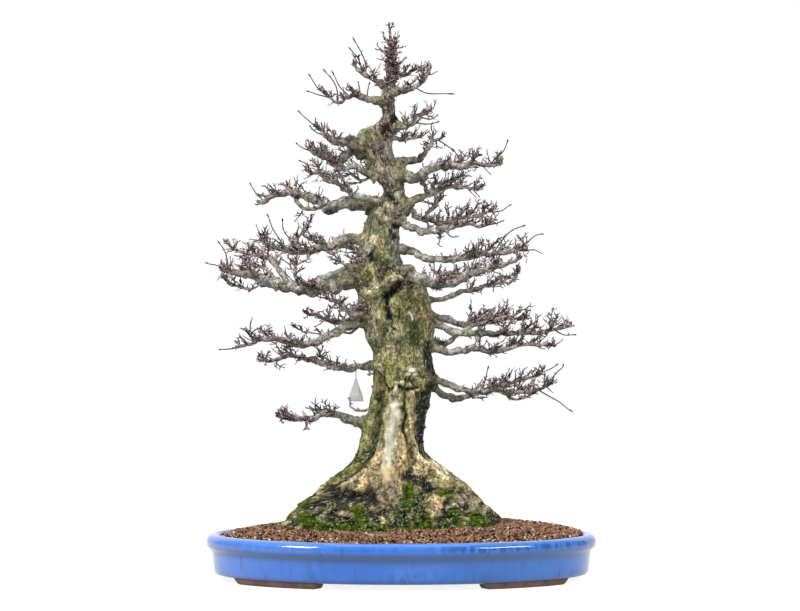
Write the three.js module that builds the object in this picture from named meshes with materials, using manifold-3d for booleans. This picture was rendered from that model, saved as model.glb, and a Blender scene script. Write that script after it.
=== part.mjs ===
// A trident maple bonsai in winter, bare of leaves, in a shallow oval glazed pot.
// Millimetres. +Z is up, the front looks along -Y, and the pot's feet stand on Z = 0 round the origin.
// The trunk with its spreading roots is one solid. Each limb is one solid with the side branches and
// twigs that grow from it. Limbs meet the trunk with a hairline gap, and so do soil, roots and pot.
import * as THREE from "three";
import { mergeVertices } from "three/addons/utils/BufferGeometryUtils.js";
import Module from "manifold-3d";

const wasm = await Module();
wasm.setup();

// Driving dimensions
const GAP = 0.35;
const POT = {
  halfWidth: 330,
  halfDepth: 240,
  footTop: 9.5,
  floorTop: 21,
  drainRadius: 17,
  drainSpacing: 150,
  sides: 44,
};
// Inset from the rim's widest oval and height, up the outside, over the lip and down the inside.
const POT_PROFILE = [
  [19, 9.5],
  [14, 12],
  [10.5, 42],
  [8.5, 48],
  [3, 55],
  [0.8, 58],
  [0, 64],
  [1.5, 70],
  [6, 75],
  [12, 77],
  [17.5, 76.5],
  [20.5, 74],
  [22, 68],
  [25, 36],
  [30, 21],
];
const FOOT = {
  outerInset: 17,
  width: 24,
  sunk: 3,
  topAngles: [115.5, 154],
  bottomAngles: [116.5, 150.5],
  steps: 4,
};
// The soil is heaped up towards the tree, and a little higher at the right and at the back.
const SOIL = {
  edgeInset: 22,
  edgeTop: 75,
  mound: 18,
  riseRight: 3,
  riseBack: 8,
  shells: [1, 0.86, 0.66, 0.38],
};
const SCREEN = { size: 48, thickness: 1.2, bar: 4 };

// Trunk outline, bottom to top: height, left edge, right edge, front edge, back edge.
const TRUNK = [
  [50, -203, 191, -118, 122],
  [84, -212, 189, -124, 130],
  [97, -207, 183, -118, 124],
  [112, -195, 170, -109, 115],
  [130, -178, 149, -97, 103],
  [148, -149, 128, -84, 90],
  [164, -131, 112, -72, 78],
  [181, -103, 84, -60, 66],
  [198, -83, 57, -52, 56],
  [214, -75, 44, -48, 50],
  [240, -70, 41, -46, 46],
  [281, -58, 46, -44, 44],
  [316, -50, 52, -43, 43],
  [345, -48, 57, -45, 44],
  [384, -46, 54, -42, 42],
  [417, -60, 57, -45, 44],
  [448, -67, 52, -46, 45],
  [484, -74, 46, -45, 45],
  [504, -82, 40, -44, 44],
  [513, -84, 22, -42, 42],
  [530, -82, 4, -38, 38],
  [555, -71, -5, -32, 33],
  [588, -64, -3, -29, 31],
  [608, -58, 3, -28, 29],
  [622, -49, 11, -28, 28],
  [634, -38, 12, -24, 25],
  [650, -28, 6, -18, 19],
  [662, -29, 5, -18, 19],
  [676, -40, 2, -20, 20],
  [692, -52, -6, -21, 21],
  [728, -61, -16, -20, 20],
  [747, -59, -16, -19, 19],
  [764, -47, -8, -16, 16],
  [781, -31, -9, -10, 10],
  [818, -34, -14, -9, 9],
  [850, -26, -7, -8, 8],
  [862, -27, -5, -7, 7],
  [878, -27, -9, -6, 6],
  [891, -21, -7, -5, 5],
  [902, -21.5, -11, -3.5, 3.5],
  [912, -20.5, -15.5, -2, 2],
  [942, -21.5, -20, -0.8, 0.8],
];
const TRUNK_SIDES = 24;
const TOP_SIDES = 10;
const ROOTS_END = 205;
const TOP_START = 640;

// Main roots: compass direction in degrees from +X towards +Y, and how far each stands out. Those at
// 208, 231, 260 and 322 show in front. The flutes between them fade up the trunk.
const ROOTS = [
  [-6, 0.75],
  [27, 1],
  [60, 0.8],
  [92, 1],
  [124, 0.8],
  [155, 1],
  [184, 0.75],
  [208, 1],
  [231, 0.9],
  [260, 1],
  [292, 0.4],
  [322, 1],
];
const FLUTE_DEPTH = [
  [50, 0.24],
  [90, 0.25],
  [148, 0.24],
  [200, 0.15],
  [300, 0.09],
  [380, 0.05],
  [450, 0],
];
// Swellings and hollows of the bark: direction, height, angular and vertical half-size, share of the radius.
const BURRS = [
  [-78, 352, 26, 16, 0.13],
  [-80, 332, 30, 7, -0.07],
  [-104, 476, 18, 26, -0.2],
  [-62, 500, 24, 16, 0.1],
  [-120, 455, 22, 26, 0.1],
  [-10, 385, 30, 30, -0.06],
  [200, 400, 30, 22, 0.08],
  [95, 430, 40, 30, 0.1],
  [60, 330, 30, 30, -0.08],
  [-60, 565, 30, 20, 0.1],
  [120, 600, 40, 20, 0.12],
];

// Limbs from the lowest up: radius at the trunk and at the tip, share of the length that stays bare,
// half-width of the twig pad, and the route from inside the trunk outwards.
const LIMBS = [
  { name: "limb_left_1", base: 7, tip: 1.1, bare: 0.3, pad: 46,
    path: [[-54, -2, 262], [-80, -10, 266], [-104, -18, 277], [-128, -24, 279], [-152, -30, 272], [-180, -38, 271], [-206, -44, 276]] },
  { name: "limb_right_1", base: 5.4, tip: 1.1, bare: 0.28, pad: 50,
    path: [[48, -2, 341], [71, -8, 332], [97, -16, 322], [131, -24, 315], [160, -30, 320], [194, -38, 315], [232, -44, 320], [250, -48, 329]] },
  { name: "limb_right_2", base: 5.4, tip: 1.1, bare: 0.45, pad: 40,
    path: [[50, 8, 326], [76, 16, 309], [95, 22, 304], [121, 28, 311], [160, 36, 321], [200, 44, 333], [232, 52, 341]] },
  { name: "limb_left_2", base: 5.6, tip: 1, bare: 0.12, pad: 46,
    path: [[-42, 8, 362], [-68, 16, 358], [-104, 30, 356], [-128, 40, 361], [-142, 46, 369], [-166, 54, 371], [-190, 60, 377], [-223, 68, 368], [-247, 72, 367]] },
  { name: "limb_back_1", base: 6.5, tip: 1.2, bare: 0.4, pad: 50,
    path: [[8, 34, 388], [16, 66, 380], [24, 104, 376], [26, 144, 381], [20, 184, 388]] },
  { name: "limb_right_3", base: 5.8, tip: 1.1, bare: 0.42, pad: 46,
    path: [[44, -6, 396], [71, -12, 386], [97, -18, 384], [122, -22, 390], [137, -26, 386], [168, -32, 384], [196, -38, 394], [228, -44, 396], [258, -48, 394]] },
  { name: "limb_left_3", base: 6.8, tip: 1.1, bare: 0.42, pad: 56,
    path: [[-54, -4, 436], [-89, -14, 427], [-116, -24, 415], [-140, -32, 404], [-166, -38, 396], [-190, -43, 402], [-228, -50, 405], [-246, -52, 400], [-263, -54, 395], [-280, -55, 390]] },
  { name: "limb_right_4", base: 5.8, tip: 1.1, bare: 0.3, pad: 56,
    path: [[48, -6, 433], [66, -10, 427], [95, -18, 415], [126, -24, 415], [158, -28, 413], [182, -32, 417], [214, -38, 415], [250, -44, 421], [290, -48, 428]] },
  { name: "limb_right_5", base: 5.6, tip: 1.1, bare: 0.3, pad: 50,
    path: [[46, 14, 446], [76, 26, 438], [102, 40, 428], [128, 52, 434], [154, 60, 436], [184, 68, 438], [212, 76, 440]] },
  { name: "limb_front_1", base: 4.8, tip: 1, bare: 0.6, pad: 13,
    path: [[-52, -24, 450], [-58, -44, 449], [-62, -62, 452]] },
  { name: "limb_left_4", base: 5, tip: 1, bare: 0.3, pad: 34,
    path: [[-58, 14, 446], [-84, 34, 438], [-106, 52, 433], [-128, 64, 440], [-146, 74, 446], [-163, 82, 447]] },
  { name: "limb_back_2", base: 6.2, tip: 1.2, bare: 0.36, pad: 54,
    path: [[-20, 32, 446], [-34, 66, 438], [-50, 104, 434], [-64, 142, 440], [-78, 178, 448]] },
  { name: "limb_left_5", base: 4, tip: 0.9, bare: 0.4, pad: 24,
    path: [[-64, -16, 446], [-84, -30, 448], [-100, -44, 458], [-116, -56, 470], [-134, -68, 483]] },
  { name: "limb_right_6", base: 4.6, tip: 1, bare: 0.4, pad: 30,
    path: [[38, 20, 470], [64, 38, 472], [94, 60, 481], [122, 78, 488], [136, 86, 493], [157, 94, 498], [179, 100, 500], [193, 104, 504], [205, 106, 522]] },
  { name: "limb_right_7", base: 8.6, tip: 1.2, bare: 0.3, pad: 52,
    path: [[8, -26, 520], [24, -52, 510], [47, -68, 499], [72, -80, 497], [95, -90, 505], [112, -98, 517], [138, -106, 520], [168, -112, 528], [198, -116, 540]] },
  { name: "limb_left_6", base: 12, tip: 2.2, bare: 0.3, pad: 60,
    path: [[-70, -6, 517], [-92, -14, 507], [-116, -24, 496], [-140, -32, 493], [-166, -37, 491], [-194, -41, 492], [-212, -43, 497], [-232, -45, 507], [-252, -47, 515], [-276, -49, 516], [-300, -50, 522]] },
  { name: "limb_back_3", base: 6, tip: 1.2, bare: 0.36, pad: 50,
    path: [[6, 32, 510], [28, 64, 503], [48, 98, 500], [66, 132, 504], [84, 164, 512]] },
  { name: "limb_right_8", base: 6.2, tip: 1.2, bare: 0.42, pad: 50,
    path: [[-10, 0, 559], [15, -6, 553], [33, -12, 545], [50, -15, 540], [76, -17, 539], [102, -19, 541], [128, -22, 548], [158, -26, 551], [194, -30, 555], [214, -33, 555]] },
  { name: "limb_left_7", base: 7.4, tip: 1.1, bare: 0.3, pad: 52,
    path: [[-62, 10, 573], [-92, 24, 576], [-114, 34, 565], [-140, 44, 563], [-163, 52, 554], [-196, 60, 557], [-214, 66, 560], [-230, 71, 568], [-242, 74, 578]] },
  { name: "limb_front_3", base: 6, tip: 1.3, bare: 0.7, pad: 14,
    path: [[-46, -20, 562], [-56, -46, 556], [-66, -70, 543], [-72, -92, 533]] },
  { name: "limb_back_4", base: 5.6, tip: 1.1, bare: 0.36, pad: 46,
    path: [[-42, 20, 566], [-56, 52, 560], [-70, 86, 556], [-84, 118, 560], [-96, 148, 568]] },
  { name: "limb_right_9", base: 6, tip: 1.1, bare: 0.34, pad: 40,
    path: [[-2, -12, 608], [12, -22, 594], [33, -30, 587], [48, -33, 586], [63, -36, 589], [80, -38, 591], [101, -40, 596], [115, -42, 599], [130, -44, 594], [146, -46, 597]] },
  { name: "limb_right_10", base: 5.2, tip: 1.1, bare: 0.3, pad: 42,
    path: [[-4, 14, 620], [18, 20, 624], [25, 26, 614], [38, 32, 608], [62, 40, 603], [84, 46, 606], [110, 52, 612], [136, 57, 618], [156, 61, 625]] },
  { name: "limb_back_5", base: 5, tip: 1, bare: 0.3, pad: 40,
    path: [[-32, 18, 622], [-30, 46, 616], [-26, 78, 614], [-22, 110, 620], [-16, 140, 630]] },
  { name: "limb_left_8", base: 11, tip: 1.2, bare: 0.34, pad: 38,
    path: [[-38, 6, 626], [-62, 10, 633], [-84, 13, 636], [-104, 16, 636], [-121, 18, 625], [-136, 21, 639], [-160, 25, 645], [-188, 29, 653], [-212, 32, 652], [-236, 35, 638], [-246, 36, 640]] },
  { name: "limb_left_9", base: 5.6, tip: 1.1, bare: 0.3, pad: 40,
    path: [[-26, -12, 634], [-50, -22, 640], [-76, -30, 648], [-90, -35, 656], [-102, -40, 664], [-119, -45, 671], [-129, -49, 676], [-137, -52, 684], [-150, -56, 682], [-158, -58, 688]] },
  { name: "limb_right_11", base: 6, tip: 1.1, bare: 0.4, pad: 36,
    path: [[-2, 2, 632], [14, 5, 636], [30, 10, 643], [50, 16, 655], [73, 22, 662], [96, 27, 664], [124, 32, 661], [134, 34, 662]] },
  { name: "limb_right_12", base: 9, tip: 1.2, bare: 0.34, pad: 42,
    path: [[-16, -6, 690], [2, -10, 683], [18, -13, 676], [32, -15, 680], [47, -18, 692], [73, -22, 698], [96, -26, 696], [120, -30, 702], [144, -34, 697], [166, -38, 699]] },
  { name: "limb_left_10", base: 5.8, tip: 1, bare: 0.5, pad: 32,
    path: [[-42, -2, 678], [-56, -6, 685], [-69, -10, 692], [-80, -13, 698], [-95, -18, 694], [-104, -20, 692], [-116, -24, 701], [-127, -28, 710], [-137, -32, 717]] },
  { name: "limb_back_6", base: 4.8, tip: 1, bare: 0.3, pad: 36,
    path: [[-34, 12, 688], [-38, 38, 684], [-44, 66, 683], [-50, 94, 690], [-56, 118, 700]] },
  { name: "limb_right_13", base: 6.4, tip: 1, bare: 0.55, pad: 20,
    path: [[-20, 10, 704], [6, 22, 706], [18, 28, 709], [32, 34, 713], [38, 38, 719], [43.5, 42, 725], [48, 46, 735], [55, 50, 744], [65, 54, 747], [71, 56, 750]] },
  { name: "limb_left_11", base: 8, tip: 1.1, bare: 0.3, pad: 36,
    path: [[-52, 10, 728], [-66, 16, 722], [-80, 21, 723], [-96, 27, 716], [-103, 29, 709], [-111, 31, 710], [-125, 35, 714], [-139, 38, 718], [-149, 41, 722], [-154, 43, 731]] },
  { name: "limb_right_14", base: 4.8, tip: 1, bare: 0.2, pad: 22,
    path: [[-24, 8, 744], [-6, 18, 744], [10, 28, 746], [24, 36, 747]] },
  { name: "limb_left_12", base: 11, tip: 1.1, bare: 0.45, pad: 32,
    path: [[-46, -6, 745], [-60, -8, 741], [-75, -11, 737], [-92, -13, 737], [-105, -15, 738], [-116, -17, 743], [-126, -19, 748], [-136, -20, 755]] },
  { name: "limb_right_15", base: 5.6, tip: 1, bare: 0.15, pad: 26,
    path: [[-16, -2, 766], [0, -6, 766], [12, -8, 767], [22, -11, 774], [31, -13, 781], [39, -15, 784]] },
  { name: "limb_back_7", base: 4, tip: 1, bare: 0.5, pad: 14,
    path: [[-30, 8, 760], [-28, 24, 752], [-26, 38, 750]] },
  { name: "limb_left_13", base: 5.4, tip: 1, bare: 0.3, pad: 24,
    path: [[-27, 0, 806], [-46, -3, 809], [-64, -6, 813], [-84, -10, 817], [-101, -12, 805], [-112, -14, 808], [-122, -16, 813]] },
  { name: "limb_right_16", base: 5.4, tip: 1, bare: 0.25, pad: 20,
    path: [[-20, -2, 822], [-6, -5, 823], [8, -8, 826], [24, -12, 832], [38, -16, 843], [47, -19, 856]] },
  { name: "limb_back_8", base: 3.2, tip: 0.9, bare: 0.25, pad: 16,
    path: [[-23, 4, 824], [-20, 22, 822], [-18, 40, 828], [-16, 58, 838]] },
  { name: "limb_left_14", base: 4.6, tip: 0.9, bare: 0.25, pad: 19,
    path: [[-22, 0, 828], [-33, -1, 838], [-43, -2, 843], [-54, -4, 848], [-62, -5, 853], [-71, -7, 859], [-79, -9, 866], [-84, -10, 870]] },
  { name: "limb_right_17", base: 3.6, tip: 0.9, bare: 0.2, pad: 17,
    path: [[-18, 2, 846], [-6, 6, 849], [8, 10, 855], [24, 14, 863], [34, 17, 861], [42, 19, 853]] },
];

// Long single shoots: the limb, where along it they leave, and the two points they pass to their tip.
const SHOOTS = [
  { limb: "limb_left_13", at: 0.84, through: [-112, -16, 835], tip: [-130, -22, 858] },
  { limb: "limb_left_13", at: 0.92, through: [-140, -20, 830], tip: [-155, -24, 850] },
  { limb: "limb_right_16", at: 0.55, through: [46, -26, 820], tip: [84, -32, 818] },
  { limb: "limb_left_8", at: 0.95, through: [-248, 40, 655], tip: [-258, 42, 670] },
  { limb: "limb_right_12", at: 0.9, through: [170, -44, 720], tip: [178, -48, 738] },
  { limb: "limb_left_7", at: 0.74, through: [-222, 74, 594], tip: [-230, 80, 617] },
  { limb: "limb_left_7", at: 0.58, through: [-198, 66, 584], tip: [-204, 70, 609] },
  { limb: "limb_left_7", at: 0.45, through: [-160, 56, 592], tip: [-154, 58, 616] },
  { limb: "limb_right_8", at: 0.92, through: [232, -44, 572], tip: [246, -48, 586] },
  { limb: "limb_left_6", at: 0.97, through: [-308, -56, 528], tip: [-326, -60, 533] },
  { limb: "limb_left_3", at: 0.97, through: [-292, -58, 388], tip: [-304, -60, 388] },
  { limb: "limb_right_4", at: 0.98, through: [298, -52, 434], tip: [316, -56, 438] },
  { limb: "limb_right_4", at: 0.86, through: [272, -50, 412], tip: [291, -52, 413] },
  { limb: "limb_right_2", at: 0.95, through: [250, 56, 352], tip: [267, 58, 361] },
  { limb: "limb_right_1", at: 0.9, through: [262, -56, 300], tip: [284, -60, 286] },
  { limb: "limb_right_1", at: 0.44, through: [140, -34, 336], tip: [146, -38, 358] },
  { limb: "limb_right_1", at: 0.93, through: [262, -42, 350], tip: [272, -40, 362] },
  { limb: "limb_left_13", at: 0.97, through: [-140, -18, 817], tip: [-158, -22, 823] },
  { limb: "limb_left_9", at: 0.92, through: [-158, -58, 698], tip: [-170, -61, 704] },
  { limb: "limb_right_13", at: 0.9, through: [82, 60, 732], tip: [91, 62, 727] },
  { limb: "limb_right_15", at: 0.6, through: [44, -18, 766], tip: [62, -20, 772] },
  { limb: "limb_right_15", at: 0.85, through: [50, -16, 777], tip: [61, -18, 783] },
  { limb: "limb_right_10", at: 0.95, through: [172, 62, 625], tip: [187, 64, 634] },
  { limb: "limb_right_9", at: 0.95, through: [158, -48, 600], tip: [171, -50, 604] },
  { limb: "limb_left_14", at: 0.58, through: [-64, -7, 878], tip: [-80, -10, 911] },
  { limb: "limb_left_14", at: 0.62, through: [-74, -8, 879], tip: [-87, -10, 896] },
  { limb: "limb_left_13", at: 0.42, through: [-71, -8, 828], tip: [-73, -8, 840] },
  { limb: "limb_left_13", at: 0.3, through: [-57, -6, 823], tip: [-54, -6, 838] },
  { limb: "limb_left_13", at: 0.62, through: [-104, -14, 832], tip: [-116, -16, 855] },
  { limb: "limb_left_12", at: 0.94, through: [-152, -24, 770], tip: [-172, -30, 788] },
  { limb: "limb_left_12", at: 0.88, through: [-143, -22, 755], tip: [-154, -24, 764] },
  { limb: "limb_left_11", at: 0.93, through: [-168, 46, 731], tip: [-179, 49, 739] },
  { limb: "limb_right_12", at: 0.62, through: [98, -26, 712], tip: [85, -24, 726] },
];

// Arms: second stems of a limb or of the trunk, with their radius at both ends and how many side
// branches they bear, and the route from the stem outwards.
const ARMS = [
  { limb: "limb_left_6", base: 5, tip: 1.5, sprays: 3,
    path: [[-186, -40, 492], [-213, -30, 532], [-230, -20, 544], [-262, -9, 550], [-290, 0, 559]] },
  { limb: "limb_left_6", base: 6.5, tip: 4.5, sprays: 0,
    path: [[-84, -11, 512], [-96, -6, 521], [-120, -10, 513], [-146, -18, 504], [-170, -34, 494]] },
  { limb: "limb_left_6", base: 2.2, tip: 1, sprays: 1,
    path: [[-226, -44, 504], [-254, -38, 490], [-288, -42, 498]] },
  { limb: "limb_left_6", base: 2.5, tip: 1.2, sprays: 1,
    path: [[-84, -11, 512], [-99, -18, 534], [-113, -20, 546], [-125, -22, 554]] },
  { limb: "limb_left_7", base: 4, tip: 1.4, sprays: 1,
    path: [[-172, 54, 555], [-178, 52, 575], [-165, 50, 588]] },
  { limb: "limb_left_3", base: 2.6, tip: 1, sprays: 1,
    path: [[-68, -8, 432], [-84, 6, 417], [-104, 12, 417], [-130, 18, 413], [-167, 24, 417]] },
  { limb: "limb_left_8", base: 4, tip: 2.6, sprays: 1,
    path: [[-128, 20, 632], [-152, 20, 625], [-168, 22, 628], [-180, 26, 642]] },
  { limb: "limb_left_8", base: 2.5, tip: 1.2, sprays: 0,
    path: [[-182, 28, 651], [-197, 30, 664], [-209, 31, 669]] },
  { limb: "limb_right_4", base: 4.2, tip: 1.4, sprays: 2,
    path: [[97, -18, 415], [124, -12, 428], [149, -10, 437], [174, -8, 442], [193, -6, 445]] },
  { limb: "limb_right_4", base: 3.5, tip: 4.5, sprays: 0,
    path: [[97, -18, 415], [83, -2, 402], [66, 6, 397], [46, 10, 404]] },
  { limb: "limb_right_4", base: 3.8, tip: 3.2, sprays: 0,
    path: [[126, -24, 415], [128, -28, 407], [130, -30, 401]] },
  { limb: "limb_right_1", base: 2.5, tip: 1.2, sprays: 1,
    path: [[158, -30, 320], [175, -32, 312], [192, -34, 305], [214, -38, 309]] },
  { limb: "limb_right_10", base: 3, tip: 1.5, sprays: 2,
    path: [[38, 32, 608], [46, 26, 620], [57, 20, 632]] },
  { limb: "limb_right_11", base: 3.6, tip: 2, sprays: 1,
    path: [[50, 16, 656], [54, 8, 667], [68, 8, 671], [86, 12, 673]] },
  { limb: "limb_right_11", base: 4, tip: 3, sprays: 0,
    path: [[46, 14, 654], [40, 8, 664], [33, 4, 670]] },
  { limb: "limb_left_6", base: 4, tip: 1.3, sprays: 2,
    path: [[-166, -37, 491], [-177, -34, 510], [-176, -31, 528], [-160, -26, 538]] },
  { limb: "limb_left_6", base: 3.4, tip: 1.2, sprays: 1,
    path: [[-212, -43, 497], [-218, -42, 512], [-232, -42, 524], [-247, -42, 528]] },
  { limb: "limb_left_10", base: 2.6, tip: 1.3, sprays: 1,
    path: [[-50, -4, 682], [-66, 2, 674], [-84, 8, 684], [-96, 11, 681]] },
  { limb: "limb_left_14", base: 2.8, tip: 1.2, sprays: 0,
    path: [[-59, -5, 851], [-60, -7, 863], [-60, -8, 875]] },
  { limb: "limb_right_12", base: 2.6, tip: 1.2, sprays: 0,
    path: [[106, -28, 697], [103, -27, 711], [100, -26, 723]] },
  { limb: "trunk", base: 1.8, tip: 0.8, sprays: 0,
    path: [[-17, 0, 893], [-26, -4, 908], [-33, -6, 925]] },
  { limb: "trunk", base: 2, tip: 0.8, sprays: 0,
    path: [[-13, 0, 893], [-8, 3, 908], [-5, 4, 926]] },
  { limb: "trunk", base: 2.4, tip: 0.8, sprays: 0,
    path: [[-20, 0, 878], [-32, -5, 892], [-41, -8, 902]] },
  { limb: "trunk", base: 3, tip: 1, sprays: 0,
    path: [[-10, 0, 866], [0, -6, 874], [8, -9, 882]] },
  { limb: "trunk", base: 2.6, tip: 1.3, sprays: 0,
    path: [[-50, -4, 288], [-75, -8, 284], [-86, -10, 293], [-89, -12, 306]] },
];

// How side branches grow: each one is a spray that forks two or three times into pairs of twigs.
const GROWTH = {
  limbSides: 5,
  spacing: 31,
  sprayRoot: 2.3,
  forkRadius: 1.45,
  hubLength: 1.3,
  twigLength: 11,
  twigSpread: 12,
  reachX: 326,
  reachY: 236,
  apart: 0.5,
};

const COLOURS = {
  glaze: new THREE.MeshStandardMaterial({ color: 0x4a74c9, roughness: 0.18, metalness: 0 }),
  soil: new THREE.MeshStandardMaterial({ color: 0x5d3a2a, roughness: 0.95, metalness: 0 }),
  bark: new THREE.MeshStandardMaterial({ color: 0x8c8463, roughness: 0.85, metalness: 0 }),
  branch: new THREE.MeshStandardMaterial({ color: 0x85786c, roughness: 0.8, metalness: 0 }),
  mesh: new THREE.MeshStandardMaterial({ color: 0x1d1d1d, roughness: 0.6, metalness: 0 }),
  sachet: new THREE.MeshStandardMaterial({ color: 0xdcdcd6, roughness: 0.7, metalness: 0 }),
  wire: new THREE.MeshStandardMaterial({ color: 0x6a6a6a, roughness: 0.4, metalness: 1 }),
};

// Seeded random numbers from 0 to 1: the same draws at every build.
function draws(seed) {
  const modulus = 2147483647;
  let state = (seed * 48271) % modulus;
  return () => {
    state = (state * 16807) % modulus;
    return state / modulus;
  };
}

const radians = THREE.MathUtils.degToRad;
const vector = ([x, y, z]) => new THREE.Vector3(x, y, z);

// The value at x on straight lines between the [x, value] pairs of a table.
function interpolate(table, x) {
  if (x <= table[0][0]) return table[0][1];
  for (let i = 1; i < table.length; i++) {
    const [x0, v0] = table[i - 1];
    const [x1, v1] = table[i];
    if (x <= x1) return v0 + ((v1 - v0) * (x - x0)) / (x1 - x0);
  }
  return table.at(-1)[1];
}

// Geometry helpers

// Two neighbouring rings, of any two counts, joined by triangles that face outwards.
function stitch(faces, a, countA, b, countB) {
  let i = 0;
  let j = 0;
  while (i < countA || (j < countB && countB > 1)) {
    const a0 = a + (i % countA);
    const b0 = b + (j % countB);
    const stepA = countB === 1 || (i < countA && (i + 1) / countA <= (j + 1) / countB);
    if (stepA) {
      faces.push(a0, a + ((i + 1) % countA), b0);
      i++;
    } else {
      faces.push(a0, b + ((j + 1) % countB), b0);
      j++;
    }
  }
}

// One closed surface through rings of points, each anticlockwise seen from the far end. A last ring
// of one point makes a sharp tip.
function loft(rings) {
  const points = rings.flat();
  const faces = [];
  const starts = [];
  let start = 0;
  for (const ring of rings) {
    starts.push(start);
    start += ring.length;
  }
  for (let r = 0; r + 1 < rings.length; r++) {
    stitch(faces, starts[r], rings[r].length, starts[r + 1], rings[r + 1].length);
  }
  const ends = [
    [0, false],
    [rings.length - 1, true],
  ];
  for (const [r, upwards] of ends) {
    const count = rings[r].length;
    if (count < 3) continue;
    const corner = (i) => starts[r] + (i % count);
    if (count <= 6) {
      for (let i = 1; i + 1 < count; i++) {
        if (upwards) faces.push(corner(0), corner(i), corner(i + 1));
        else faces.push(corner(0), corner(i + 1), corner(i));
      }
      continue;
    }
    const centre = new THREE.Vector3();
    rings[r].forEach((p) => centre.addScaledVector(p, 1 / count));
    points.push(centre);
    for (let i = 0; i < count; i++) {
      if (upwards) faces.push(points.length - 1, corner(i), corner(i + 1));
      else faces.push(points.length - 1, corner(i + 1), corner(i));
    }
  }
  const geometry = new THREE.BufferGeometry().setFromPoints(points);
  geometry.setIndex(faces);
  return geometry;
}

function solidOf(geometry) {
  const bare = geometry.clone();
  bare.deleteAttribute("normal");
  bare.deleteAttribute("uv");
  const merged = mergeVertices(bare, 1e-5);
  return new wasm.Manifold(
    new wasm.Mesh({
      numProp: 3,
      vertProperties: new Float32Array(merged.attributes.position.array),
      triVerts: new Uint32Array(merged.index.array),
    }),
  );
}

// The largest body of a solid, less the slivers that joins leave: no face moves further than slack.
function mainBody(solid, slack) {
  const bodies = solid.asOriginal().simplify(slack).decompose();
  return bodies.reduce((best, body) => (body.volume() > best.volume() ? body : best));
}

function meshOf(name, solid, material) {
  const { vertProperties, triVerts, numProp } = solid.getMesh();
  const positions = new Float32Array((vertProperties.length / numProp) * 3);
  for (let i = 0; i < positions.length / 3; i++) {
    positions.set(vertProperties.subarray(i * numProp, i * numProp + 3), i * 3);
  }
  const geometry = new THREE.BufferGeometry();
  geometry.setAttribute("position", new THREE.BufferAttribute(positions, 3));
  geometry.setIndex(Array.from(triVerts));
  geometry.computeVertexNormals();
  const mesh = new THREE.Mesh(geometry, material);
  mesh.name = name;
  return mesh;
}

// A tapering stem along points, with a radius at each. A last radius of 0 makes a sharp tip.
function stem(points, radii, sides) {
  const rings = [];
  const side = new THREE.Vector3();
  points.forEach((point, i) => {
    const before = points[Math.max(i - 1, 0)];
    const after = points[Math.min(i + 1, points.length - 1)];
    const along = after.clone().sub(before).normalize();
    if (i === 0) side.set(0, 0, 1).cross(along).setLength(1);
    if (side.lengthSq() < 0.5) side.set(1, 0, 0);
    side.addScaledVector(along, -side.dot(along)).normalize();
    if (radii[i] === 0) {
      rings.push([point.clone()]);
      return;
    }
    const up = along.clone().cross(side);
    const ring = [];
    for (let k = 0; k < sides; k++) {
      const turn = (k / sides) * 2 * Math.PI;
      const corner = point.clone();
      corner.addScaledVector(side, radii[i] * Math.cos(turn));
      corner.addScaledVector(up, radii[i] * Math.sin(turn));
      ring.push(corner);
    }
    rings.push(ring);
  });
  return solidOf(loft(rings));
}

// Trunk and roots

// How far the trunk's wall lies in from its outline at a direction and height, as a share of the radius.
function barkShare(degrees, height) {
  let valley = 1;
  for (const [root, strength] of ROOTS) {
    const off = Math.abs(((degrees - root + 540) % 360) - 180);
    valley = Math.min(valley, 1 - strength * Math.exp(-((off / 12) ** 2)));
  }
  let share = 1 - interpolate(FLUTE_DEPTH, height) * valley;
  for (const [direction, z, wide, tall, swell] of BURRS) {
    const off = (((degrees - direction + 540) % 360) - 180) / wide;
    const rise = (height - z) / tall;
    share += swell * Math.exp(-(off * off + rise * rise));
  }
  return share;
}

// Ring directions: two flank points after each root, so that ridges and valleys both show.
function rootDirections() {
  const directions = [];
  ROOTS.forEach(([root], i) => {
    const next = i + 1 < ROOTS.length ? ROOTS[i + 1][0] : ROOTS[0][0] + 360;
    for (let part = 0; part < 3; part++) directions.push(root + ((next - root) * part) / 3);
  });
  return directions;
}

function evenDirections(count) {
  return Array.from({ length: count }, (_, i) => ROOTS[0][0] + (i / count) * 360);
}

function trunkSolid(grow) {
  const rings = TRUNK.map(([z, left, right, front, back]) => {
    const lower = z < ROOTS_END ? rootDirections() : evenDirections(TRUNK_SIDES);
    const directions = z < TOP_START ? lower : evenDirections(TOP_SIDES);
    const centre = [(left + right) / 2, (front + back) / 2];
    return directions.map((degrees) => {
      const share = barkShare(degrees, z);
      const halfWidth = ((right - left) / 2) * share + grow;
      const halfDepth = ((back - front) / 2) * share + grow;
      const turn = radians(degrees);
      const x = centre[0] + halfWidth * Math.cos(turn);
      const y = centre[1] + halfDepth * Math.sin(turn);
      return new THREE.Vector3(x, y, z);
    });
  });
  return solidOf(loft(rings));
}

// True where a point lies inside the trunk's outline, or nearer to it than margin.
function inTrunk(point, margin) {
  const upper = TRUNK.findIndex((row) => row[0] > point.z);
  if (upper < 1) return false;
  const low = TRUNK[upper - 1];
  const high = TRUNK[upper];
  const part = (point.z - low[0]) / (high[0] - low[0]);
  const [left, right, front, back] = [1, 2, 3, 4].map((k) => low[k] + (high[k] - low[k]) * part);
  const across = (point.x - (left + right) / 2) / ((right - left) / 2 + margin);
  const along = (point.y - (front + back) / 2) / ((back - front) / 2 + margin);
  return across * across + along * along < 1;
}

// Pot, soil and drain screens

function ovalRing(inset, z, count) {
  return Array.from({ length: count }, (_, i) => {
    const turn = (i / count) * 2 * Math.PI;
    const x = (POT.halfWidth - inset) * Math.cos(turn);
    const y = (POT.halfDepth - inset) * Math.sin(turn);
    return new THREE.Vector3(x, y, z);
  });
}

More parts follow.
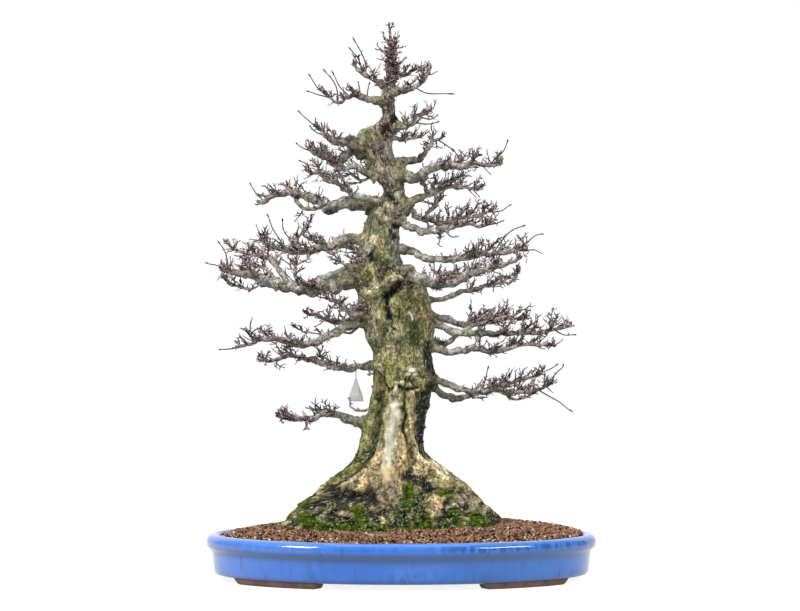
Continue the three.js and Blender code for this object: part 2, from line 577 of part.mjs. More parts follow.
// One low foot that follows the oval: its section is lofted from one slanted end to the other.
function footSolid(mirrorX, mirrorY) {
  const rings = [];
  const top = POT.footTop + FOOT.sunk;
  for (let i = 0; i <= FOOT.steps; i++) {
    const corners = [
      [FOOT.outerInset + 2, 0, FOOT.bottomAngles],
      [FOOT.outerInset, top, FOOT.topAngles],
      [FOOT.outerInset + FOOT.width, top, FOOT.topAngles],
      [FOOT.outerInset + FOOT.width - 2, 0, FOOT.bottomAngles],
    ];
    const ring = corners.map(([inset, z, [from, to]]) => {
      const turn = radians(from + ((to - from) * i) / FOOT.steps);
      const x = (POT.halfWidth - inset) * Math.cos(turn) * mirrorX;
      const y = (POT.halfDepth - inset) * Math.sin(turn) * mirrorY;
      return new THREE.Vector3(x, y, z);
    });
    rings.push(mirrorX * mirrorY > 0 ? ring.reverse() : ring);
  }
  return solidOf(loft(rings));
}

function drainCentres() {
  return [-1, 0, 1].map((place) => place * POT.drainSpacing);
}

function potSolid() {
  const body = solidOf(loft(POT_PROFILE.map(([inset, z]) => ovalRing(inset, z, POT.sides))));
  const feet = [-1, 1].flatMap((x) => [-1, 1].map((y) => footSolid(x, y)));
  const holes = drainCentres().map((x) => {
    const hole = new THREE.CylinderGeometry(POT.drainRadius, POT.drainRadius, 60, 14);
    return solidOf(hole.rotateX(Math.PI / 2).translate(x, 0, POT.floorTop));
  });
  return wasm.Manifold.union([body, ...feet]).subtract(wasm.Manifold.union(holes));
}

// A square plastic grid that keeps the soil in over one drain hole.
function screenSolid(x) {
  const { size, thickness, bar } = SCREEN;
  const bottom = POT.floorTop + GAP;
  const plate = new THREE.BoxGeometry(size, size, thickness);
  const window = (size - 3 * bar) / 2;
  const cuts = [];
  for (const i of [-0.5, 0.5]) {
    for (const j of [-0.5, 0.5]) {
      const cut = new THREE.BoxGeometry(window, window, thickness * 3);
      cuts.push(solidOf(cut.translate(i * (window + bar), j * (window + bar), 0)));
    }
  }
  const cutPlate = solidOf(plate).subtract(wasm.Manifold.union(cuts));
  return cutPlate.translate([x, 0, bottom + thickness / 2]);
}

// Height of the soil at a point, where shell is its share of the way from the middle to the edge.
function soilTop(x, y, shell) {
  const lean = (SOIL.riseRight * x) / POT.halfWidth + (SOIL.riseBack * y) / POT.halfDepth;
  return SOIL.edgeTop + SOIL.mound * (1 - shell ** 4) + lean;
}

function soilSolid() {
  const rings = [
    [30 + GAP, POT.floorTop + GAP],
    [SOIL.edgeInset + 2 + GAP, 62],
  ].map(([inset, z]) => ovalRing(inset, z, POT.sides));
  for (const shell of SOIL.shells) {
    const ring = ovalRing(SOIL.edgeInset + GAP, 0, POT.sides).map((p) => p.multiplyScalar(shell));
    rings.push(ring.map((p) => new THREE.Vector3(p.x, p.y, soilTop(p.x, p.y, shell))));
  }
  const bed = solidOf(loft(rings));
  const recesses = drainCentres().map((x) => {
    const size = SCREEN.size + 2 * GAP;
    const recess = new THREE.BoxGeometry(size, size, 2 * (SCREEN.thickness + GAP));
    return solidOf(recess.translate(x, 0, POT.floorTop + GAP));
  });
  return bed.subtract(wasm.Manifold.union(recesses)).subtract(trunkSolid(GAP * 1.6));
}

// Limbs, side branches and twigs

// The point a share of the way along a route, and the direction there.
function along(route, share) {
  const lengths = route.slice(1).map((p, i) => p.distanceTo(route[i]));
  let left = lengths.reduce((sum, length) => sum + length, 0) * share;
  let i = 0;
  while (i < lengths.length - 1 && left > lengths[i]) {
    left -= lengths[i];
    i++;
  }
  const direction = route[i + 1].clone().sub(route[i]).normalize();
  return { point: route[i].clone().addScaledVector(direction, left), direction };
}

function routeLength(route) {
  return route.slice(1).reduce((sum, p, i) => sum + p.distanceTo(route[i]), 0);
}

// The shortest distance between two straight pieces of stem.
function segmentDistance(a0, a1, b0, b1) {
  const d1 = a1.clone().sub(a0);
  const d2 = b1.clone().sub(b0);
  const r = a0.clone().sub(b0);
  const a = d1.lengthSq();
  const e = d2.lengthSq();
  const b = d1.dot(d2);
  const c = d1.dot(r);
  const f = d2.dot(r);
  const clamp = THREE.MathUtils.clamp;
  const denominator = a * e - b * b;
  let s = denominator > 1e-9 ? clamp((b * f - c * e) / denominator, 0, 1) : 0;
  const t = clamp((b * s + f) / e, 0, 1);
  s = clamp((b * t - c) / a, 0, 1);
  return a0.clone().addScaledVector(d1, s).distanceTo(b0.clone().addScaledVector(d2, t));
}

function limbRadius(limb, share) {
  return limb.tip + (limb.base - limb.tip) * (1 - share) ** 0.65;
}

// The limb's own stem, from inside the trunk out, with a collar where it leaves.
function limbStem(limb) {
  const route = limb.path.map(vector);
  const total = routeLength(route);
  let run = 0;
  const radii = route.map((p, i) => {
    if (i > 0) run += p.distanceTo(route[i - 1]);
    return limbRadius(limb, run / total);
  });
  radii[0] *= 1.2;
  return { route, radii };
}

// Arms of one limb or of the trunk, as routes with their radii.
function armStems(limbName) {
  return ARMS.filter((arm) => arm.limb === limbName).map((arm) => {
    const route = arm.path.map(vector);
    const total = routeLength(route);
    let run = 0;
    const radii = route.map((p, i) => {
      if (i > 0) run += p.distanceTo(route[i - 1]);
      return arm.base + ((arm.tip - arm.base) * run) / total;
    });
    return { arm, route, radii };
  });
}

const UP = new THREE.Vector3(0, 0, 1);

// Across and top directions at right angles to a heading, rolled about it.
function frameOf(heading, roll) {
  const across = UP.clone().cross(heading).normalize();
  const top = heading.clone().cross(across);
  across.applyAxisAngle(heading, roll);
  top.applyAxisAngle(heading, roll);
  return { across, top };
}

// One spray. It has a fork after each stretch, two twigs at every fork and three at the last.
function spray(start, heading, reach, root, forks, draw) {
  const roll = 0.7 * (draw() - 0.5);
  const shape = { start, heading: heading.clone(), root, roll, forks: [] };
  const small = THREE.MathUtils.clamp(reach / 24, 0.5, 1);
  let point = start;
  let ahead = heading.clone();
  for (let k = 0; k < forks; k++) {
    const stretch = reach * (k === 0 ? 0.5 : 0.5 / (forks - 1 || 1)) * (0.85 + 0.3 * draw());
    point = point.clone().addScaledVector(ahead, stretch);
    const { across, top } = frameOf(ahead, roll);
    const last = k === forks - 1;
    const radius = Math.min(root * 0.75, GROWTH.forkRadius) * (1 - 0.12 * k);
    const tips = (last ? [-1, 1, 0] : [-1, 1]).map((hand) => {
      const splay = hand === 0 ? 0.1 : 0.62 + 0.3 * draw();
      const twig = ahead.clone().multiplyScalar(Math.cos(splay));
      twig.addScaledVector(across, hand * Math.sin(splay) * 0.87);
      twig.addScaledVector(top, Math.sin(splay) * (0.4 + 0.5 * draw())).normalize();
      const length = (GROWTH.twigLength + GROWTH.twigSpread * draw()) * small;
      return point.clone().addScaledVector(twig, length * (1 - 0.12 * k));
    });
    shape.forks.push({ point, ahead: ahead.clone(), radius, tips });
    ahead = ahead.clone().addScaledVector(UP, 0.22 * draw());
    ahead.addScaledVector(across, 0.5 * (draw() - 0.5)).normalize();
  }
  return shape;
}

// The straight pieces of a spray.
function sprayPieces({ start, root, forks }) {
  const pieces = [];
  let from = start;
  let radius = root;
  for (const fork of forks) {
    pieces.push({ from, to: fork.point, radius });
    for (const tip of fork.tips) pieces.push({ from: fork.point, to: tip, radius: fork.radius });
    from = fork.point;
    radius = fork.radius;
  }
  return pieces;
}

// A spray as one closed surface. Each fork is a small pyramid on a three-sided stem. Twigs are drawn
// out of two of its faces, and the stem goes on from the third.
function spraySolid({ start, heading, root, roll, forks }) {
  const points = [];
  const faces = [];
  const ringAt = (centre, ahead, radius) => {
    const { across, top } = frameOf(ahead, roll);
    return [90, 210, 330].map((degrees) => {
      const turn = radians(degrees);
      const corner = centre.clone().addScaledVector(across, radius * Math.cos(turn));
      points.push(corner.addScaledVector(top, radius * Math.sin(turn)));
      return points.length - 1;
    });
  };
  const drawOut = ([a, b, c], tip) => {
    points.push(tip);
    const t = points.length - 1;
    faces.push(a, b, t, b, c, t, c, a, t);
  };
  let ring = ringAt(start, heading, root);
  faces.push(ring[0], ring[2], ring[1]);
  forks.forEach(({ point, ahead, radius, tips }) => {
    const next = ringAt(point, ahead, radius);
    for (let i = 0; i < 3; i++) {
      const j = (i + 1) % 3;
      faces.push(ring[i], ring[j], next[i], ring[j], next[j], next[i]);
    }
    points.push(point.clone().addScaledVector(ahead, radius * GROWTH.hubLength));
    const apex = points.length - 1;
    const [a, b, c] = next;
    drawOut([a, b, apex], tips[0]);
    drawOut([c, a, apex], tips[1]);
    if (tips.length > 2) drawOut([b, c, apex], tips[2]);
    ring = [apex, b, c];
  });
  const geometry = new THREE.BufferGeometry().setFromPoints(points);
  geometry.setIndex(faces);
  return solidOf(geometry);
}

const placed = []; // every straight piece of stem so far: its limb, ends and radius

// Pieces keep inside the pot's outline and clear of the trunk and of every other limb.
function isFree(limb, pieces) {
  return pieces.every(({ from, to, radius }) => {
    if (Math.abs(to.x) > GROWTH.reachX || Math.abs(to.y) > GROWTH.reachY) return false;
    if (limb !== "trunk" && inTrunk(to, 4)) return false;
    return placed.every((other) => {
      if (other.limb === limb) return true;
      const room = (radius + other.radius) * 1.15 + GROWTH.apart;
      return segmentDistance(from, to, other.from, other.to) > room;
    });
  });
}

function place(limb, pieces) {
  for (const piece of pieces) placed.push({ limb, ...piece });
}

function stemPieces(points, radii) {
  return points.slice(1).map((to, i) => {
    return { from: points[i], to, radius: Math.max(radii[i], radii[i + 1]) };
  });
}

// A spray at full size, or smaller where another limb is in the way, or none.
function fitSpray(limbName, start, heading, reach, root, forks, draw) {
  for (const size of [1, 0.7, 0.45]) {
    const shape = spray(start, heading, reach * size, root, size === 1 ? forks : 1, draw);
    const pieces = sprayPieces(shape);
    if (isFree(limbName, pieces)) {
      place(limbName, pieces);
      return [shape];
    }
  }
  return [];
}

// The few sprays that arms bear: at the end, then to one side and to the other.
function armSprays(limbName, draw) {
  return armStems(limbName).flatMap(({ arm, route }) =>
    Array.from({ length: arm.sprays }, (_, k) => k).flatMap((k) => {
      const share = k === 0 ? 0.95 : 0.85 - 0.28 * k;
      const { point, direction } = along(route, share);
      const across = UP.clone().cross(direction).normalize();
      const heading = direction.clone().multiplyScalar(k === 0 ? 0.9 : 0.6);
      heading.addScaledVector(across, k === 0 ? 0.1 : k % 2 ? 0.7 : -0.7);
      heading.addScaledVector(UP, 0.3).normalize();
      const root = Math.min(arm.base + (arm.tip - arm.base) * share, 1.8);
      return fitSpray(limbName, point, heading, 14, root, 2, draw);
    }),
  );
}

// The sprays of one limb: to the left, to the right and upwards in turn, and one at its end.
function growth(limb, seed) {
  const draw = draws(seed);
  const { route } = limbStem(limb);
  const length = routeLength(route);
  const shapes = [];
  const count = Math.max(3, Math.round((length * (1 - limb.bare)) / GROWTH.spacing));
  for (let k = 0; k < count; k++) {
    const outward = (k + 0.25 + 0.5 * draw()) / count;
    const share = limb.bare + (1 - limb.bare) * outward;
    const { point, direction } = along(route, share);
    const side = [-1, 1, 0][(k + seed) % 3];
    const across = UP.clone().cross(direction).normalize();
    const splay = side === 0 ? 0.25 : 0.75 + 0.35 * draw();
    const heading = direction.clone().multiplyScalar(Math.cos(splay));
    heading.addScaledVector(across, side * Math.sin(splay) + 0.3 * (draw() - 0.5));
    heading.addScaledVector(UP, side === 0 ? 0.9 : 0.05 + 0.25 * draw()).normalize();
    const width = limb.pad * (1 - 0.45 * Math.abs(outward - 0.4)) * (0.75 + 0.4 * draw());
    const reach = side === 0 ? 9 + 5 * draw() : width * 0.68;
    const root = Math.min(limbRadius(limb, share) * 0.75, GROWTH.sprayRoot);
    const forks = side === 0 ? 1 : reach > 30 ? 3 : 2;
    shapes.push(...fitSpray(limb.name, point, heading, reach, root, forks, draw));
  }
  const { point, direction } = along(route, 0.94);
  const ahead = direction.clone().addScaledVector(UP, 0.1).normalize();
  shapes.push(...fitSpray(limb.name, point, ahead, 12, limb.tip, 2, draw));
  return [...shapes, ...armSprays(limb.name, draw)];
}

// The long shoots of one limb, each bent once.
function shootsOf(limb) {
  const { route } = limbStem(limb);
  return SHOOTS.filter((shoot) => shoot.limb === limb.name).map((shoot) => {
    const points = [along(route, shoot.at).point, vector(shoot.through), vector(shoot.tip)];
    return { points, radii: [1.1, 0.8, 0] };
  });
}

function limbSolid(limb, shapes, shoots, trunkWithGap) {
  const { route, radii } = limbStem(limb);
  const pointed = [...radii.slice(0, -1), 0];
  const parts = [stem(route, pointed, GROWTH.limbSides), ...shapes.map(spraySolid)];
  for (const { points, radii: thickness } of shoots) parts.push(stem(points, thickness, 3));
  for (const arm of armStems(limb.name)) parts.push(stem(arm.route, arm.radii, arm.base > 3 ? 4 : 3));
  return mainBody(wasm.Manifold.union(parts).subtract(trunkWithGap), 0.21);
}

// Sprays of the crown grow from the trunk's own top: height, compass direction, rise, reach and forks.
const CROWN_SPRAYS = [
  [862, 195, 40, 9, 1],
  [872, -60, 42, 9, 1],
  [882, 115, 40, 9, 1],
  [889, 10, 50, 8, 1],
  [897, -110, 55, 7, 1],
];

function crownSprays() {
  const draw = draws(97);
  const axis = [1, 2].map((k) => TRUNK.map((row) => [row[0], row[k]]));
  return CROWN_SPRAYS.flatMap(([z, degrees, rise, reach, forks]) => {
    const flat = Math.cos(radians(rise));
    const x = flat * Math.cos(radians(degrees));
    const y = flat * Math.sin(radians(degrees));
    const heading = new THREE.Vector3(x, y, Math.sin(radians(rise)));
    const middle = (interpolate(axis[0], z) + interpolate(axis[1], z)) / 2;
    const start = new THREE.Vector3(middle, 0, z);
    return fitSpray("trunk", start, heading, reach, 1.6, forks, draw);
  });
}

// Sachet: a small gauze pouch of feed that hangs below the second left limb on a wire hook.
const SACHET = {
  limb: "limb_left_2",
  x: -77,
  topZ: 337,
  height: 38,
  halfWidth: 12.5,
  halfDepth: 4.5,
  wire: 0.7,
};

// Where the hook crosses its limb: the limb's axis there and its radius.
function hookSeat() {
  const limb = LIMBS.find(({ name }) => name === SACHET.limb);
  const { route, radii } = limbStem(limb);
  const i = route.findIndex((p) => p.x < SACHET.x);
  const part = (SACHET.x - route[i - 1].x) / (route[i].x - route[i - 1].x);
  const centre = route[i - 1].clone().lerp(route[i], part);
  return { centre, radius: Math.max(radii[i - 1], radii[i]) };
}

// The wire comes up in front of the limb, passes over it and ends below its middle, in the pouch's neck.
function hookRoute() {
  const { centre, radius } = hookSeat();
  const reach = radius * 1.08 + SACHET.wire + GAP;
  const points = [-35, 10, 50, 90, 130, 175, 215].map((degrees) => {
    const turn = radians(degrees);
    const y = centre.y - reach * Math.cos(turn);
    return new THREE.Vector3(SACHET.x, y, centre.z + reach * Math.sin(turn));
  });
  points.push(new THREE.Vector3(SACHET.x, centre.y, centre.z - reach * 1.7));
  points.push(new THREE.Vector3(SACHET.x, centre.y, SACHET.topZ + GAP));
  return points;
}

function sachetSolid() {
  const { x, topZ, height, halfWidth, halfDepth } = SACHET;
  const { centre } = hookSeat();
  // Height share, width share and depth share: a flat seam at the foot, full above it, a tied neck.
  const sections = [
    [0, 1, 0.15],
    [0.08, 0.98, 0.7],
    [0.28, 0.86, 1],
    [0.7, 0.42, 0.6],
    [1, 0.13, 0.35],
  ];
  const rings = sections.map(([rise, wide, deep]) =>
    Array.from({ length: 10 }, (_, i) => {
      const turn = (i / 10) * 2 * Math.PI;
      const y = centre.y + halfDepth * deep * Math.sin(turn);
      return new THREE.Vector3(x + halfWidth * wide * Math.cos(turn), y, topZ - height * (1 - rise));
    }),
  );
  return solidOf(loft(rings));
}

// Assembly
const bonsai = new THREE.Group();
bonsai.name = "trident_maple_bonsai";
bonsai.add(meshOf("pot", mainBody(potSolid(), 0.01), COLOURS.glaze));
drainCentres().forEach((x, i) => {
  bonsai.add(meshOf(`drain_screen_${i + 1}`, screenSolid(x), COLOURS.mesh));
});
bonsai.add(meshOf("soil", mainBody(soilSolid(), 0.05), COLOURS.soil));

for (const limb of LIMBS) {
  const { route, radii } = limbStem(limb);
  place(limb.name, stemPieces(route, radii));
}
for (const name of new Set(ARMS.map((arm) => arm.limb))) {
  for (const { route, radii } of armStems(name)) place(name, stemPieces(route, radii));
}
const hookPoints = hookRoute();
place("hook", stemPieces(hookPoints, hookPoints.map(() => SACHET.wire)));
const shoots = new Map(LIMBS.map((limb) => [limb.name, shootsOf(limb)]));
for (const [name, stems] of shoots) {
  stems.forEach(({ points, radii }) => place(name, stemPieces(points, radii)));
}

const crown = crownSprays();
const trunkArms = armStems("trunk").map(({ route, radii }) => stem(route, radii, 4));
const trunk = wasm.Manifold.union([trunkSolid(0), ...trunkArms, ...crown.map(spraySolid)]);
bonsai.add(meshOf("trunk", mainBody(trunk, 0.05), COLOURS.bark));

const trunkWithGap = trunkSolid(GAP);
LIMBS.forEach((limb, i) => {
  const shapes = growth(limb, i + 1);
  const solid = limbSolid(limb, shapes, shoots.get(limb.name), trunkWithGap);
  bonsai.add(meshOf(limb.name, solid, COLOURS.branch));
});

const hook = stem(hookPoints, hookPoints.map(() => SACHET.wire), 5);
bonsai.add(meshOf("sachet_hook", hook, COLOURS.wire));
bonsai.add(meshOf("sachet", sachetSolid(), COLOURS.sachet));

export default bonsai;
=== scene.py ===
"""Trident maple bonsai in winter, in an oval blue-glazed pot: the finished look.

The trunk, the limbs with their twigs, the pot and the soil are modelled here more finely than in the
plain solids, on the same measures. Lengths are in millimetres and are turned into metres where a mesh
is made. The front looks along -Y.
"""

import math

import bpy
import numpy as np
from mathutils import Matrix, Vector, noise


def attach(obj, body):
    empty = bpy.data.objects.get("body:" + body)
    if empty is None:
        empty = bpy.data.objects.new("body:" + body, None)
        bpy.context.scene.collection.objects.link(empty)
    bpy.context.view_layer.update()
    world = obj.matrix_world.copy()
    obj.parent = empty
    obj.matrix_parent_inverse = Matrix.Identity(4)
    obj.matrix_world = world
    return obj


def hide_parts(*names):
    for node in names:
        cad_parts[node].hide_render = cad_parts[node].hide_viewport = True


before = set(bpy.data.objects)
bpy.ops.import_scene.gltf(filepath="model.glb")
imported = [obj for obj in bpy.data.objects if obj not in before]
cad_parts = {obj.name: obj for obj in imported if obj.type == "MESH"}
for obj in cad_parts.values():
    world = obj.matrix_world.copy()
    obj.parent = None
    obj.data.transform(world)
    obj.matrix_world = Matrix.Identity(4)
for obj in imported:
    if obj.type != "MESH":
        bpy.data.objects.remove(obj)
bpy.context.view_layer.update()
scene = bpy.context.scene
MM = 0.001
UP = np.array([0.0, 0.0, 1.0])

# Camera: level, 5 m in front of the trunk, at about half the tree's height
CAMERA_LENS = 132.9
CAMERA_PLACE = (-0.0022, -5.0, 0.4619)
camera_data = bpy.data.cameras.new("camera")
camera_data.lens = CAMERA_LENS
camera_data.sensor_width = 36
camera_data.clip_end = 40
camera = bpy.data.objects.new("camera", camera_data)
camera.location = CAMERA_PLACE
camera.rotation_euler = (math.pi / 2, 0, 0)
scene.collection.objects.link(camera)
scene.camera = camera


# Sizes

POT_HALF_WIDTH = 330
POT_HALF_DEPTH = 240
# Pot wall: inset from the widest oval and height, up the outside, over the lip and down the inside.
POT_PROFILE = [
    (24, 9.5), (19, 9.5), (16, 10.3), (14, 12.2), (12.4, 18), (11.4, 28), (10.6, 38), (10.0, 42.5),
    (9.2, 46.5), (7.4, 50.2), (4.8, 53.2), (2.6, 55.3), (1.3, 57.2), (0.4, 60), (0, 64), (0.5, 67.6),
    (2.0, 71), (4.6, 74), (8.0, 76.2), (12, 77), (15.5, 76.9), (18, 76), (20, 74), (21.2, 71),
    (22.4, 62), (24, 46), (25.2, 36), (27, 27), (30, 22), (36, 21),
]
FOOT_ANGLES_TOP = (115.5, 154)
FOOT_ANGLES_BOTTOM = (116.5, 150.5)
# Section of a foot: inset and height once round, from the outer edge
FOOT_SECTION = [
    (19.6, 0.0), (18.2, 0.7), (17.4, 2.2), (16.8, 12.0), (41.2, 12.0), (40.4, 2.2), (39.4, 0.7), (38, 0.0),
]
FOOT_MIDDLE = 29
FOOT_HEIGHT = 12
# Share of a foot's length over which an end is eased, and where its rings lie
FOOT_EASE = 0.03
FOOT_SHARES = [0, 0.012, 0.03, *np.linspace(0.08, 0.92, 22), 0.97, 0.988, 1]
DRAIN_X = (-150, 0, 150)
DRAIN_RADIUS = 17
SOIL_INSET = 22.4
SOIL_EDGE = 75
SOIL_MOUND = 18
SOIL_RISE_RIGHT = 3
SOIL_RISE_BACK = 8
# How far the bed lies below the granules' level, and how far apart the granules are
BED_DROP = 1.2
GRANULE_STEP = 3.9

# Trunk outline, bottom to top: height, left edge, right edge, front edge, back edge.
TRUNK = [
    (50, -203, 191, -118, 122), (84, -212, 189, -124, 130), (97, -207, 183, -118, 124),
    (112, -195, 170, -109, 115), (130, -178, 149, -97, 103), (148, -149, 128, -84, 90),
    (164, -131, 112, -72, 78), (181, -103, 84, -60, 66), (198, -83, 57, -52, 56),
    (214, -75, 44, -48, 50), (240, -70, 41, -46, 46), (281, -58, 46, -44, 44),
    (316, -50, 52, -43, 43), (345, -48, 57, -45, 44), (384, -46, 54, -42, 42),
    (417, -60, 57, -45, 44), (448, -67, 52, -46, 45), (484, -74, 46, -45, 45),
    (504, -82, 40, -44, 44), (513, -84, 22, -42, 42), (530, -82, 4, -38, 38),
    (555, -71, -5, -32, 33), (588, -64, -3, -29, 31), (608, -58, 3, -28, 29),
    (622, -49, 11, -28, 28), (634, -38, 12, -24, 25), (650, -28, 6, -18, 19),
    (662, -29, 5, -18, 19), (676, -40, 2, -20, 20), (692, -52, -6, -21, 21),
    (728, -61, -16, -20, 20), (747, -59, -16, -19, 19), (764, -47, -8, -16, 16),
    (781, -31, -9, -10, 10), (818, -34, -14, -9, 9), (850, -26, -7, -8, 8),
    (862, -27, -5, -7, 7), (878, -27, -9, -6, 6), (891, -21, -7, -5, 5), (902, -21.5, -11, -3.5, 3.5),
    (912, -20.5, -15.5, -2, 2), (942, -21.5, -20, -0.8, 0.8),
]
# Main roots: compass direction in degrees from +X towards +Y, and how far each stands out.
ROOTS = [
    (-6, 0.75), (27, 1), (60, 0.8), (92, 1), (124, 0.8), (155, 1),
    (184, 0.75), (208, 1), (231, 0.9), (260, 1), (292, 0.4), (322, 1),
]
FLUTE_DEPTH = [(50, 0.24), (90, 0.25), (148, 0.24), (200, 0.15), (300, 0.09), (380, 0.05), (450, 0)]
# Swellings and hollows: direction, height, angular and vertical half-size, share of the radius.
BURRS = [
    (-78, 352, 26, 16, 0.13), (-80, 332, 30, 7, -0.07), (-104, 476, 18, 26, -0.2),
    (-62, 500, 24, 16, 0.1), (-120, 455, 22, 26, 0.1), (-10, 385, 30, 30, -0.06),
    (200, 400, 30, 22, 0.08), (95, 430, 40, 30, 0.1), (60, 330, 30, 30, -0.08),
    (-60, 565, 30, 20, 0.1), (120, 600, 40, 20, 0.12),
]

